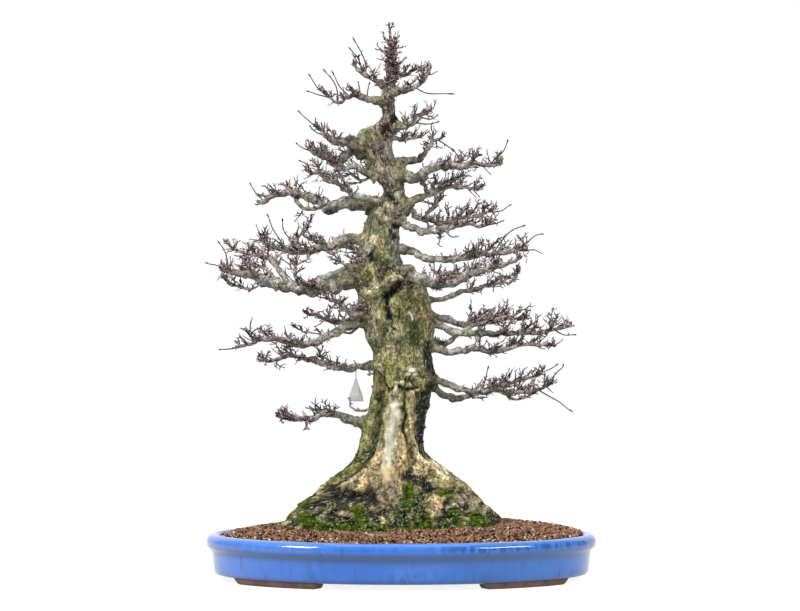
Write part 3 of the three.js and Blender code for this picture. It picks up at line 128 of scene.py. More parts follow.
# Limbs: radius at the trunk and at the tip, share of the length that stays bare, half-width of the
# twig pad, and the route from inside the trunk outwards.
LIMBS = {
    "limb_left_1": (7, 1.1, 0.3, 46, [
        (-54, -2, 262), (-80, -10, 266), (-104, -18, 277), (-128, -24, 279), (-152, -30, 272),
        (-180, -38, 271), (-206, -44, 276)]),
    "limb_right_1": (5.4, 1.1, 0.28, 50, [
        (48, -2, 341), (71, -8, 332), (97, -16, 322), (131, -24, 315), (160, -30, 320),
        (194, -38, 315), (232, -44, 320), (250, -48, 329)]),
    "limb_right_2": (5.4, 1.1, 0.45, 40, [
        (50, 8, 326), (76, 16, 309), (95, 22, 304), (121, 28, 311), (160, 36, 321), (200, 44, 333),
        (232, 52, 341)]),
    "limb_left_2": (5.6, 1, 0.12, 46, [
        (-42, 8, 362), (-68, 16, 358), (-104, 30, 356), (-128, 40, 361), (-142, 46, 369),
        (-166, 54, 371), (-190, 60, 377), (-223, 68, 368), (-247, 72, 367)]),
    "limb_back_1": (6.5, 1.2, 0.4, 50, [
        (8, 34, 388), (16, 66, 380), (24, 104, 376), (26, 144, 381), (20, 184, 388)]),
    "limb_right_3": (5.8, 1.1, 0.42, 46, [
        (44, -6, 396), (71, -12, 386), (97, -18, 384), (122, -22, 390), (137, -26, 386),
        (168, -32, 384), (196, -38, 394), (228, -44, 396), (258, -48, 394)]),
    "limb_left_3": (6.8, 1.1, 0.42, 56, [
        (-54, -4, 436), (-89, -14, 427), (-116, -24, 415), (-140, -32, 404), (-166, -38, 396),
        (-190, -43, 402), (-228, -50, 405), (-246, -52, 400), (-263, -54, 395), (-280, -55, 390)]),
    "limb_right_4": (5.8, 1.1, 0.3, 56, [
        (48, -6, 433), (66, -10, 427), (95, -18, 415), (126, -24, 415), (158, -28, 413),
        (182, -32, 417), (214, -38, 415), (250, -44, 421), (290, -48, 428)]),
    "limb_right_5": (5.6, 1.1, 0.3, 50, [
        (46, 14, 446), (76, 26, 438), (102, 40, 428), (128, 52, 434), (154, 60, 436),
        (184, 68, 438), (212, 76, 440)]),
    "limb_front_1": (4.8, 1, 0.6, 13, [
        (-52, -24, 450), (-58, -44, 449), (-62, -62, 452)]),
    "limb_left_4": (5, 1, 0.3, 34, [
        (-58, 14, 446), (-84, 34, 438), (-106, 52, 433), (-128, 64, 440), (-146, 74, 446),
        (-163, 82, 447)]),
    "limb_back_2": (6.2, 1.2, 0.36, 54, [
        (-20, 32, 446), (-34, 66, 438), (-50, 104, 434), (-64, 142, 440), (-78, 178, 448)]),
    "limb_left_5": (4, 0.9, 0.4, 24, [
        (-64, -16, 446), (-84, -30, 448), (-100, -44, 458), (-116, -56, 470), (-134, -68, 483)]),
    "limb_right_6": (4.6, 1, 0.4, 30, [
        (38, 20, 470), (64, 38, 472), (94, 60, 481), (122, 78, 488), (136, 86, 493),
        (157, 94, 498), (179, 100, 500), (193, 104, 504), (205, 106, 522)]),
    "limb_right_7": (8.6, 1.2, 0.3, 52, [
        (8, -26, 520), (24, -52, 510), (47, -68, 499), (72, -80, 497), (95, -90, 505),
        (112, -98, 517), (138, -106, 520), (168, -112, 528), (198, -116, 540)]),
    "limb_left_6": (12, 2.2, 0.3, 60, [
        (-70, -6, 517), (-92, -14, 507), (-116, -24, 496), (-140, -32, 493), (-166, -37, 491),
        (-194, -41, 492), (-212, -43, 497), (-232, -45, 507), (-252, -47, 515), (-276, -49, 516),
        (-300, -50, 522)]),
    "limb_back_3": (6, 1.2, 0.36, 50, [
        (6, 32, 510), (28, 64, 503), (48, 98, 500), (66, 132, 504), (84, 164, 512)]),
    "limb_right_8": (6.2, 1.2, 0.42, 50, [
        (-10, 0, 559), (15, -6, 553), (33, -12, 545), (50, -15, 540), (76, -17, 539),
        (102, -19, 541), (128, -22, 548), (158, -26, 551), (194, -30, 555), (214, -33, 555)]),
    "limb_left_7": (7.4, 1.1, 0.3, 52, [
        (-62, 10, 573), (-92, 24, 576), (-114, 34, 565), (-140, 44, 563), (-163, 52, 554),
        (-196, 60, 557), (-214, 66, 560), (-230, 71, 568), (-242, 74, 578)]),
    "limb_front_3": (6, 1.3, 0.7, 14, [
        (-46, -20, 562), (-56, -46, 556), (-66, -70, 543), (-72, -92, 533)]),
    "limb_back_4": (5.6, 1.1, 0.36, 46, [
        (-42, 20, 566), (-56, 52, 560), (-70, 86, 556), (-84, 118, 560), (-96, 148, 568)]),
    "limb_right_9": (6, 1.1, 0.34, 40, [
        (-2, -12, 608), (12, -22, 594), (33, -30, 587), (48, -33, 586), (63, -36, 589),
        (80, -38, 591), (101, -40, 596), (115, -42, 599), (130, -44, 594), (146, -46, 597)]),
    "limb_right_10": (5.2, 1.1, 0.3, 42, [
        (-4, 14, 620), (18, 20, 624), (25, 26, 614), (38, 32, 608), (62, 40, 603), (84, 46, 606),
        (110, 52, 612), (136, 57, 618), (156, 61, 625)]),
    "limb_back_5": (5, 1, 0.3, 40, [
        (-32, 18, 622), (-30, 46, 616), (-26, 78, 614), (-22, 110, 620), (-16, 140, 630)]),
    "limb_left_8": (11, 1.2, 0.34, 38, [
        (-38, 6, 626), (-62, 10, 633), (-84, 13, 636), (-104, 16, 636), (-121, 18, 625),
        (-136, 21, 639), (-160, 25, 645), (-188, 29, 653), (-212, 32, 652), (-236, 35, 638),
        (-246, 36, 640)]),
    "limb_left_9": (5.6, 1.1, 0.3, 40, [
        (-26, -12, 634), (-50, -22, 640), (-76, -30, 648), (-90, -35, 656), (-102, -40, 664),
        (-119, -45, 671), (-129, -49, 676), (-137, -52, 684), (-150, -56, 682), (-158, -58, 688)]),
    "limb_right_11": (6, 1.1, 0.4, 36, [
        (-2, 2, 632), (14, 5, 636), (30, 10, 643), (50, 16, 655), (73, 22, 662), (96, 27, 664),
        (124, 32, 661), (134, 34, 662)]),
    "limb_right_12": (9, 1.2, 0.34, 42, [
        (-16, -6, 690), (2, -10, 683), (18, -13, 676), (32, -15, 680), (47, -18, 692),
        (73, -22, 698), (96, -26, 696), (120, -30, 702), (144, -34, 697), (166, -38, 699)]),
    "limb_left_10": (5.8, 1, 0.5, 32, [
        (-42, -2, 678), (-56, -6, 685), (-69, -10, 692), (-80, -13, 698), (-95, -18, 694),
        (-104, -20, 692), (-116, -24, 701), (-127, -28, 710), (-137, -32, 717)]),
    "limb_back_6": (4.8, 1, 0.3, 36, [
        (-34, 12, 688), (-38, 38, 684), (-44, 66, 683), (-50, 94, 690), (-56, 118, 700)]),
    "limb_right_13": (6.4, 1, 0.55, 20, [
        (-20, 10, 704), (6, 22, 706), (18, 28, 709), (32, 34, 713), (38, 38, 719), (43.5, 42, 725),
        (48, 46, 735), (55, 50, 744), (65, 54, 747), (71, 56, 750)]),
    "limb_left_11": (8, 1.1, 0.3, 36, [
        (-52, 10, 728), (-66, 16, 722), (-80, 21, 723), (-96, 27, 716), (-103, 29, 709),
        (-111, 31, 710), (-125, 35, 714), (-139, 38, 718), (-149, 41, 722), (-154, 43, 731)]),
    "limb_right_14": (4.8, 1, 0.2, 22, [
        (-24, 8, 744), (-6, 18, 744), (10, 28, 746), (24, 36, 747)]),
    "limb_left_12": (11, 1.1, 0.45, 32, [
        (-46, -6, 745), (-60, -8, 741), (-75, -11, 737), (-92, -13, 737), (-105, -15, 738),
        (-116, -17, 743), (-126, -19, 748), (-136, -20, 755)]),
    "limb_right_15": (5.6, 1, 0.15, 26, [
        (-16, -2, 766), (0, -6, 766), (12, -8, 767), (22, -11, 774), (31, -13, 781), (39, -15, 784)]),
    "limb_back_7": (4, 1, 0.5, 14, [
        (-30, 8, 760), (-28, 24, 752), (-26, 38, 750)]),
    "limb_left_13": (5.4, 1, 0.3, 24, [
        (-27, 0, 806), (-46, -3, 809), (-64, -6, 813), (-84, -10, 817), (-101, -12, 805),
        (-112, -14, 808), (-122, -16, 813)]),
    "limb_right_16": (5.4, 1, 0.25, 20, [
        (-20, -2, 822), (-6, -5, 823), (8, -8, 826), (24, -12, 832), (38, -16, 843), (47, -19, 856)]),
    "limb_back_8": (3.2, 0.9, 0.25, 16, [
        (-23, 4, 824), (-20, 22, 822), (-18, 40, 828), (-16, 58, 838)]),
    "limb_left_14": (4.6, 0.9, 0.25, 19, [
        (-22, 0, 828), (-33, -1, 838), (-43, -2, 843), (-54, -4, 848), (-62, -5, 853),
        (-71, -7, 859), (-79, -9, 866), (-84, -10, 870)]),
    "limb_right_17": (3.6, 0.9, 0.2, 17, [
        (-18, 2, 846), (-6, 6, 849), (8, 10, 855), (24, 14, 863), (34, 17, 861), (42, 19, 853)]),
}

# Long single shoots: the limb, where along it they leave, and the two points they pass to their tip.
SHOOTS = [
    ("limb_left_13", 0.84, (-112, -16, 835), (-130, -22, 858)),
    ("limb_left_13", 0.92, (-140, -20, 830), (-155, -24, 850)),
    ("limb_right_16", 0.55, (46, -26, 820), (84, -32, 818)),
    ("limb_left_8", 0.95, (-248, 40, 655), (-258, 42, 670)),
    ("limb_right_12", 0.9, (170, -44, 720), (178, -48, 738)),
    ("limb_left_7", 0.74, (-222, 74, 594), (-230, 80, 617)),
    ("limb_left_7", 0.58, (-198, 66, 584), (-204, 70, 609)),
    ("limb_left_7", 0.45, (-160, 56, 592), (-154, 58, 616)),
    ("limb_right_8", 0.74, (180, -38, 584), (206, -42, 596)),
    ("limb_right_8", 0.95, (222, -40, 578), (237, -42, 582)),
    ("limb_left_6", 0.95, (-294, -50, 548), (-306, -52, 568)),
    ("limb_left_6", 0.97, (-308, -56, 528), (-326, -60, 533)),
    ("limb_left_3", 0.97, (-292, -58, 388), (-304, -60, 388)),
    ("limb_right_4", 0.86, (272, -50, 412), (291, -52, 413)),
    ("limb_right_2", 0.95, (250, 56, 352), (267, 58, 361)),
    ("limb_right_1", 0.9, (262, -56, 300), (284, -60, 286)),
    ("limb_right_1", 0.44, (140, -34, 336), (146, -38, 358)),
    ("limb_right_1", 0.93, (262, -42, 350), (272, -40, 362)),
    ("limb_left_13", 0.97, (-140, -18, 817), (-158, -22, 823)),
    ("limb_left_9", 0.92, (-158, -58, 698), (-170, -61, 704)),
    ("limb_right_13", 0.9, (82, 60, 732), (91, 62, 727)),
    ("limb_right_15", 0.6, (44, -18, 766), (62, -20, 772)),
    ("limb_right_15", 0.85, (50, -16, 777), (61, -18, 783)),
    ("limb_right_10", 0.95, (172, 62, 625), (187, 64, 634)),
    ("limb_right_9", 0.95, (158, -48, 600), (171, -50, 604)),
    ("limb_left_14", 0.58, (-64, -7, 878), (-80, -10, 911)),
    ("limb_left_14", 0.62, (-74, -8, 879), (-87, -10, 896)),
    ("limb_left_13", 0.42, (-71, -8, 828), (-73, -8, 840)),
    ("limb_left_13", 0.3, (-57, -6, 823), (-54, -6, 838)),
    ("limb_left_13", 0.62, (-104, -14, 832), (-116, -16, 855)),
    ("limb_left_12", 0.94, (-152, -24, 770), (-172, -30, 788)),
    ("limb_left_12", 0.88, (-143, -22, 755), (-154, -24, 764)),
    ("limb_left_11", 0.93, (-168, 46, 731), (-179, 49, 739)),
    ("limb_right_12", 0.62, (98, -26, 712), (85, -24, 726)),
]

# Arms: second stems of a limb or of the trunk, with their radius at both ends and how many side
# branches they bear, and the route from the stem outwards.
ARMS = [
    ("limb_left_6", 5, 1.5, 3, [
        (-186, -40, 492), (-213, -30, 532), (-230, -20, 544), (-262, -9, 550), (-290, 0, 559)]),
    ("limb_left_6", 6.5, 4.5, 0, [
        (-84, -11, 512), (-96, -6, 521), (-120, -10, 513), (-146, -18, 504), (-170, -34, 494)]),
    ("limb_left_6", 2.2, 1, 1, [
        (-226, -44, 504), (-254, -38, 490), (-288, -42, 498)]),
    ("limb_left_6", 2.5, 1.2, 1, [
        (-84, -11, 512), (-99, -18, 534), (-113, -20, 546), (-125, -22, 554)]),
    ("limb_left_7", 4, 1.4, 1, [
        (-172, 54, 555), (-178, 52, 575), (-165, 50, 588)]),
    ("limb_left_3", 2.6, 1, 1, [
        (-68, -8, 432), (-84, 6, 417), (-104, 12, 417), (-130, 18, 413), (-167, 24, 417)]),
    ("limb_left_8", 4, 2.6, 1, [
        (-128, 20, 632), (-152, 20, 625), (-168, 22, 628), (-180, 26, 642)]),
    ("limb_left_8", 2.5, 1.2, 0, [
        (-182, 28, 651), (-197, 30, 664), (-209, 31, 669)]),
    ("limb_right_4", 4.2, 1.4, 2, [
        (97, -18, 415), (124, -12, 428), (149, -10, 437), (174, -8, 442), (193, -6, 445)]),
    ("limb_right_4", 3.5, 4.5, 0, [
        (97, -18, 415), (83, -2, 402), (66, 6, 397), (46, 10, 404)]),
    ("limb_right_4", 3.8, 3.2, 0, [
        (126, -24, 415), (128, -28, 407), (130, -30, 401)]),
    ("limb_right_1", 2.5, 1.2, 1, [
        (158, -30, 320), (175, -32, 312), (192, -34, 305), (214, -38, 309)]),
    ("limb_right_10", 3, 1.5, 2, [
        (38, 32, 608), (46, 26, 620), (57, 20, 632)]),
    ("limb_right_11", 3.6, 2, 1, [
        (50, 16, 656), (54, 8, 667), (68, 8, 671), (86, 12, 673)]),
    ("limb_right_11", 4, 3, 0, [
        (46, 14, 654), (40, 8, 664), (33, 4, 670)]),
    ("limb_left_6", 4, 1.3, 2, [
        (-166, -37, 491), (-177, -34, 510), (-176, -31, 528), (-160, -26, 538)]),
    ("limb_left_6", 3.4, 1.2, 1, [
        (-212, -43, 497), (-218, -42, 512), (-232, -42, 524), (-247, -42, 528)]),
    ("limb_left_10", 2.6, 1.3, 1, [
        (-50, -4, 682), (-66, 2, 674), (-84, 8, 684), (-96, 11, 681)]),
    ("limb_left_14", 2.8, 1.2, 0, [
        (-59, -5, 851), (-60, -7, 863), (-60, -8, 875)]),
    ("limb_right_12", 2.6, 1.2, 0, [
        (106, -28, 697), (103, -27, 711), (100, -26, 723)]),
    ("trunk", 1.8, 0.8, 0, [
        (-17, 0, 893), (-26, -4, 908), (-33, -6, 925)]),
    ("trunk", 2, 0.8, 0, [
        (-13, 0, 893), (-8, 3, 908), (-5, 4, 926)]),
    ("trunk", 2.4, 0.8, 0, [
        (-20, 0, 878), (-32, -5, 892), (-41, -8, 902)]),
    ("trunk", 3, 1, 0, [
        (-10, 0, 866), (0, -6, 874), (8, -9, 882)]),
    ("trunk", 2.6, 1.3, 0, [
        (-50, -4, 288), (-75, -8, 284), (-86, -10, 293), (-89, -12, 306)]),
]

# Sprays of the crown: height, compass direction, rise, reach and forks.
CROWN_SPRAYS = [
    (862, 195, 40, 9, 1), (872, -60, 42, 9, 1), (882, 115, 40, 9, 1), (889, 10, 50, 8, 1),
    (897, -110, 55, 7, 1),
]

# How far out to a side any twig may reach
WIDEST = 330.0
# How side branches grow
SPACING = 31
SPRAY_ROOT = 2.3
FORK_RADIUS = 1.45
SHOOT_RADII = (1.1, 0.8)
TWIG_LENGTH = 11
TWIG_SPREAD = 12
REACH_X = 326
REACH_Y = 236
APART = 0.5

# Sachet on its hook
SACHET_LIMB = "limb_left_2"
SACHET_X = -77
SACHET_TOP = 337
SACHET_HEIGHT = 38
SACHET_HALF_WIDTH = 12.5
SACHET_HALF_DEPTH = 4.5
WIRE_RADIUS = 0.7
# Shares of the height from the bottom up, and of the half-width or half-depth there
SACHET_WIDTHS = ([0, 0.08, 0.28, 0.7, 0.93, 1], [1, 0.99, 0.87, 0.43, 0.16, 0.19])
SACHET_DEPTHS = ([0, 0.06, 0.28, 0.7, 0.93, 1], [0.1, 0.5, 1, 0.6, 0.3, 0.36])
GAP = 0.35


# Mesh helpers


def mesh_object(name, points, quads=None, tris=None, smooth=True):
    """A mesh object from points in millimetres, with four-sided and three-sided faces."""
    quads = np.zeros((0, 4), int) if quads is None else np.asarray(quads, int).reshape(-1, 4)
    tris = np.zeros((0, 3), int) if tris is None else np.asarray(tris, int).reshape(-1, 3)
    corners = np.concatenate([quads.ravel(), tris.ravel()])
    starts = np.concatenate([np.arange(len(quads)) * 4, len(quads) * 4 + np.arange(len(tris)) * 3])
    mesh = bpy.data.meshes.new(name)
    mesh.vertices.add(len(points))
    mesh.vertices.foreach_set("co", (np.asarray(points, float) * MM).ravel())
    mesh.loops.add(len(corners))
    mesh.loops.foreach_set("vertex_index", corners)
    mesh.polygons.add(len(starts))
    mesh.polygons.foreach_set("loop_start", starts)
    mesh.polygons.foreach_set("use_smooth", np.full(len(starts), smooth))
    mesh.update(calc_edges=True)
    mesh.validate()
    item = bpy.data.objects.new(name, mesh)
    scene.collection.objects.link(item)
    return item


def paint(item, name, values):
    """Stores one number for each point of a mesh, for its material to read."""
    attribute = item.data.attributes.new(name, "FLOAT", "POINT")
    attribute.data.foreach_set("value", np.asarray(values, np.float32))


def ring_faces(rings, count):
    """Faces through rings of equally many points, closed by fans round two points that follow them."""
    i = np.arange(rings - 1)[:, None] * count
    j = np.arange(count)[None, :]
    k = (j + 1) % count
    quads = np.stack([i + j, i + k, i + k + count, i + j + count], axis=-1).reshape(-1, 4)
    ring = np.arange(count)
    after = (ring + 1) % count
    last = (rings - 1) * count
    start = np.stack([after, ring, np.full(count, rings * count)], axis=-1)
    end = np.stack([ring + last, after + last, np.full(count, rings * count + 1)], axis=-1)
    return quads, np.concatenate([start, end])


def unit(v):
    return v / np.linalg.norm(v, axis=-1, keepdims=True)


def distances(path):
    """How far along a path each of its points lies."""
    return np.concatenate([[0], np.cumsum(np.linalg.norm(np.diff(path, axis=0), axis=1))])


def tubes(paths, radii, sides):
    """Closed stems with equally many rings. Each path has one point more than rings, which is its tip."""
    ahead = unit(np.gradient(paths, axis=1)[:, :-1] + 1e-9)
    helper = np.eye(3)[np.argmin(np.abs(paths[:, -1] - paths[:, 0]), axis=1)][:, None]
    across = unit(np.cross(helper, ahead))
    top = np.cross(ahead, across)
    turn = np.arange(sides)[:, None] / sides * 2 * math.pi
    spread = across[:, :, None] * np.cos(turn) + top[:, :, None] * np.sin(turn)
    skin = paths[:, :-1, None] + spread * radii[..., None]
    number, rings = skin.shape[:2]
    points = np.concatenate([skin.reshape(number, -1, 3), paths[:, :1], paths[:, -1:]], axis=1)
    quads, tris = ring_faces(rings, sides)
    step = np.arange(number)[:, None, None] * (rings * sides + 2)
    return points.reshape(-1, 3), (quads + step).reshape(-1, 4), (tris + step).reshape(-1, 3)


class Wood:
    """Gathers closed stems in batches of equal make and joins them into one mesh."""

    def __init__(self, sparse=1.0, left=-WIDEST, right=WIDEST):
        self.sparse = sparse
        self.left = left
        self.right = right
        self.parts = []
        self.total = 0

    def add(self, paths, radii, sides, young, shade):
        """Paths are (n, rings + 1, 3), radii and young (n, rings) or fit them, shade (n)."""
        paths = np.asarray(paths, float)
        number, rings = len(paths), paths.shape[1] - 1
        if not number:
            return
        radii = np.asarray(radii, float)
        if radii.shape[-1] != sides or radii.ndim < 3:
            radii = np.broadcast_to(radii, (number, rings))[..., None]
        radii = np.broadcast_to(radii, (number, rings, sides))
        points, quads, tris = tubes(paths, radii, sides)
        young = np.broadcast_to(young, (number, rings))
        ages = np.concatenate([np.repeat(young, sides, axis=1), young[:, :1], young[:, -1:]], axis=1)
        shades = np.repeat(np.broadcast_to(shade, (number,)), rings * sides + 2)
        self.parts.append((points, quads + self.total, tris + self.total, ages.ravel(), shades))
        self.total += len(points)

    def build(self, name):
        points, quads, tris, ages, shades = [np.concatenate(column) for column in zip(*self.parts)]
        item = mesh_object(name, points, quads, tris)
        paint(item, "young", ages)
        paint(item, "shade", shades)
        return item


def lump(points, size, seed=0.0, octaves=3):
    """Smooth random numbers, about -1 to 1, that change over the given size in millimetres."""
    size = np.broadcast_to(np.asarray(size, float), (3,))
    shifted = np.asarray(points, float) / size + seed
    return np.array([noise.fractal(Vector(p), 1.0, 2.0, octaves) for p in shifted])


def smooth_curve(waypoints, parts):
    """A smooth curve through waypoints, with the given number of points for each stretch."""
    p = np.asarray(waypoints, float)
    p = np.concatenate([[2 * p[0] - p[1]], p, [2 * p[-1] - p[-2]]])
    t = (np.arange(parts) / parts)[:, None]
    curve = []
    for a, b, c, d in zip(p, p[1:], p[2:], p[3:]):
        curve.append(0.5 * (2 * b + (c - a) * t + (2 * a - 5 * b + 4 * c - d) * t**2
                            + (3 * b - 3 * c + d - a) * t**3))
    return np.concatenate([*curve, p[-2:-1]])


# Growth: the same rule and draws that the plain solids follow


def draws(seed):
    state = seed * 48271 % 2147483647

    def draw():
        nonlocal state
        state = state * 16807 % 2147483647
        return state / 2147483647

    return draw


def along(route, share):
    steps = np.linalg.norm(np.diff(route, axis=0), axis=1)
    left = steps.sum() * share
    i = 0
    while i < len(steps) - 1 and left > steps[i]:
        left -= steps[i]
        i += 1
    direction = unit(route[i + 1] - route[i])
    return route[i] + direction * left, direction


def limb_radius(base, tip, share):
    return tip + (base - tip) * np.maximum(1 - share, 0) ** 0.65


def roll_frame(heading, roll):
    across = unit(np.cross(UP, heading))
    top = np.cross(heading, across)
    turned = across * math.cos(roll) + top * math.sin(roll)
    return turned, top * math.cos(roll) - across * math.sin(roll)


def spray(start, heading, reach, root, forks, draw):
    roll = 0.7 * (draw() - 0.5)
    small = min(max(reach / 24, 0.5), 1)
    shape = {"start": start, "root": root, "forks": []}
    point, ahead = start, heading
    for k in range(forks):
        stretch = reach * (0.5 if k == 0 else 0.5 / (forks - 1 or 1)) * (0.85 + 0.3 * draw())
        point = point + ahead * stretch
        across, top = roll_frame(ahead, roll)
        radius = min(root * 0.75, FORK_RADIUS) * (1 - 0.12 * k)
        tips = []
        for hand in (-1, 1, 0) if k == forks - 1 else (-1, 1):
            splay = 0.1 if hand == 0 else 0.62 + 0.3 * draw()
            twig = ahead * math.cos(splay) + across * hand * math.sin(splay) * 0.87
            twig = unit(twig + top * math.sin(splay) * (0.4 + 0.5 * draw()))
            length = (TWIG_LENGTH + TWIG_SPREAD * draw()) * small
            tips.append(point + twig * length * (1 - 0.12 * k))
        shape["forks"].append({"point": point, "radius": radius, "tips": tips})
        ahead = ahead + UP * 0.22 * draw()
        ahead = unit(ahead + across * 0.5 * (draw() - 0.5))
    return shape


def spray_pieces(shape):
    pieces = []
    start, radius = shape["start"], shape["root"]
    for fork in shape["forks"]:
        pieces.append((start, fork["point"], radius))
        pieces += [(fork["point"], tip, fork["radius"]) for tip in fork["tips"]]
        start, radius = fork["point"], fork["radius"]
    return pieces


def in_trunk(point, margin):
    x, y, z = point
    upper = next((i for i, row in enumerate(TRUNK) if row[0] > z), -1)
    if upper < 1:
        return False
    low, high = np.array(TRUNK[upper - 1], float), np.array(TRUNK[upper], float)
    row = low + (high - low) * (z - low[0]) / (high[0] - low[0])
    _, left, right, front, back = row
    across = (x - (left + right) / 2) / ((right - left) / 2 + margin)
    deep = (y - (front + back) / 2) / ((back - front) / 2 + margin)
    return across * across + deep * deep < 1


placed = {"limb": [], "from": [], "to": [], "radius": []}


def place(limb, pieces):
    for start, end, radius in pieces:
        placed["limb"].append(limb)
        placed["from"].append(start)
        placed["to"].append(end)
        placed["radius"].append(radius)


def is_free(limb, pieces):
    others = np.array([name != limb for name in placed["limb"]])
    b0 = np.array(placed["from"])[others]
    b1 = np.array(placed["to"])[others]
    thick = np.array(placed["radius"])[others]
    for start, end, radius in pieces:
        if abs(end[0]) > REACH_X or abs(end[1]) > REACH_Y:
            return False
        if limb != "trunk" and in_trunk(end, 4):
            return False
        d1, d2, r = end - start, b1 - b0, start - b0
        a, e, b = d1 @ d1, (d2 * d2).sum(1), d2 @ d1
        c, f = r @ d1, (d2 * r).sum(1)
        bottom = a * e - b * b
        s = np.where(bottom > 1e-9, np.clip((b * f - c * e) / np.where(bottom > 1e-9, bottom, 1), 0, 1), 0)
        t = np.clip((b * s + f) / e, 0, 1)
        s = np.clip((b * t - c) / a, 0, 1)
        gap = np.linalg.norm(start + s[:, None] * d1 - b0 - t[:, None] * d2, axis=1)
        if (gap <= (radius + thick) * 1.15 + APART).any():
            return False
    return True


def fit_spray(limb, start, heading, reach, root, forks, draw):
    for size in (1, 0.7, 0.45):
        shape = spray(start, heading, reach * size, root, forks if size == 1 else 1, draw)
        pieces = spray_pieces(shape)
        if is_free(limb, pieces):
            place(limb, pieces)
            return [shape]
    return []


def growth(limb, seed):
    base, tip, bare, pad, waypoints = LIMBS[limb]
    draw = draws(seed)
    route = np.array(waypoints, float)
    length = np.linalg.norm(np.diff(route, axis=0), axis=1).sum()
    shapes = []
    count = max(3, math.floor(length * (1 - bare) / SPACING + 0.5))
    for k in range(count):
        outward = (k + 0.25 + 0.5 * draw()) / count
        share = bare + (1 - bare) * outward
        point, direction = along(route, share)
        side = (-1, 1, 0)[(k + seed) % 3]
        across = unit(np.cross(UP, direction))
        splay = 0.25 if side == 0 else 0.75 + 0.35 * draw()
        heading = direction * math.cos(splay)
        heading = heading + across * (side * math.sin(splay) + 0.3 * (draw() - 0.5))
        heading = unit(heading + UP * (0.9 if side == 0 else 0.05 + 0.25 * draw()))
        width = pad * (1 - 0.45 * abs(outward - 0.4)) * (0.75 + 0.4 * draw())
        reach = 9 + 5 * draw() if side == 0 else width * 0.68
        root = min(limb_radius(base, tip, share) * 0.75, SPRAY_ROOT)
        forks = 1 if side == 0 else 3 if reach > 30 else 2
        shapes += fit_spray(limb, point, heading, reach, root, forks, draw)
    point, direction = along(route, 0.94)
    shapes += fit_spray(limb, point, unit(direction + UP * 0.1), 12, tip, 2, draw)
    return shapes + arm_sprays(limb, draw)


def hook_route():
    """The wire comes up in front of the limb, passes over it and ends in the pouch's neck."""
    base, tip, _, _, waypoints = LIMBS[SACHET_LIMB]
    route = np.array(waypoints, float)
    radii = stem_radii(route, base, tip)
    i = next(k for k, p in enumerate(route) if p[0] < SACHET_X)
    part = (SACHET_X - route[i - 1][0]) / (route[i][0] - route[i - 1][0])
    centre = route[i - 1] + (route[i] - route[i - 1]) * part
    reach = max(radii[i - 1], radii[i]) * 1.08 + WIRE_RADIUS + GAP
    points = []
    for degrees in (-35, 10, 50, 90, 130, 175, 215):
        turn = math.radians(degrees)
        points.append((SACHET_X, centre[1] - reach * math.cos(turn), centre[2] + reach * math.sin(turn)))
    points.append((SACHET_X, centre[1], centre[2] - reach * 1.7))
    points.append((SACHET_X, centre[1], SACHET_TOP + GAP))
    return np.array(points)


def stem_radii(route, base, tip):
    """A limb's radii at the points of its route. It is thicker where it leaves the trunk."""
    steps = distances(route)
    radii = [limb_radius(base, tip, s / steps[-1]) for s in steps]
    radii[0] *= 1.2
    return radii


def arm_radii(route, base, tip):
    steps = distances(route)
    return base + (tip - base) * steps / steps[-1]


def stretches(route, radii):
    """The straight pieces of a stem, each with its larger radius."""
    return [(a, b, max(r, q)) for a, b, r, q in zip(route, route[1:], radii, radii[1:])]


def arm_sprays(limb, draw):
    """The few side branches that arms bear: to one side, then to the other."""
    shapes = []
    for owner, base, tip, number, waypoints in ARMS:
        if owner != limb:
            continue
        route = np.array(waypoints, float)
        for k in range(number):
            share = 0.95 if k == 0 else 0.85 - 0.28 * k
            point, direction = along(route, share)
            across = unit(np.cross(UP, direction))
            heading = direction * (0.9 if k == 0 else 0.6)
            heading = unit(heading + across * (0.1 if k == 0 else 0.7 if k % 2 else -0.7) + UP * 0.3)
            root = min(base + (tip - base) * share, 1.8)
            shapes += fit_spray(limb, point, heading, 14, root, 2, draw)
    return shapes


def register_stems():
    """Enters the limbs, the hook and the long shoots, which side branches then keep clear of."""
    for name, (base, tip, _, _, waypoints) in LIMBS.items():
        route = np.array(waypoints, float)
        place(name, stretches(route, stem_radii(route, base, tip)))
    for limb, base, tip, _, waypoints in ARMS:
        route = np.array(waypoints, float)
        place(limb, stretches(route, arm_radii(route, base, tip)))
    hook = hook_route()
    place("hook", [(a, b, WIRE_RADIUS) for a, b in zip(hook, hook[1:])])
    for limb, share, through, tip in SHOOTS:
        start = along(np.array(LIMBS[limb][4], float), share)[0]
        through, tip = np.array(through, float), np.array(tip, float)
        place(limb, [(start, through, SHOOT_RADII[0]), (through, tip, SHOOT_RADII[1])])


def crown_sprays():
    draw = draws(97)
    heights = [row[0] for row in TRUNK]
    shapes = []
    for z, degrees, rise, reach, forks in CROWN_SPRAYS:
        flat = math.cos(math.radians(rise))
        heading = np.array([flat * math.cos(math.radians(degrees)), flat * math.sin(math.radians(degrees)),
                            math.sin(math.radians(rise))])
        left = np.interp(z, heights, [row[1] for row in TRUNK])
        right = np.interp(z, heights, [row[2] for row in TRUNK])
        start = np.array([(left + right) / 2, 0.0, float(z)])
        shapes += fit_spray("trunk", start, heading, reach, 1.6, forks, draw)
    return shapes


# Trunk


def outline(z):
    """Left, right, front and back edges of the trunk at heights z, with the corners eased."""
    fine = np.arange(30.0, 961.0)
    heights = [row[0] for row in TRUNK]
    kernel = np.exp(-0.5 * (np.arange(-12, 13) / 4.0) ** 2)
    kernel /= kernel.sum()
    edges = []
    for column in range(1, 5):
        values = np.interp(fine, heights, [row[column] for row in TRUNK])
        eased = np.convolve(np.pad(values, 12, mode="edge"), kernel, mode="valid")
        edges.append(np.interp(z, fine, eased))
    return edges


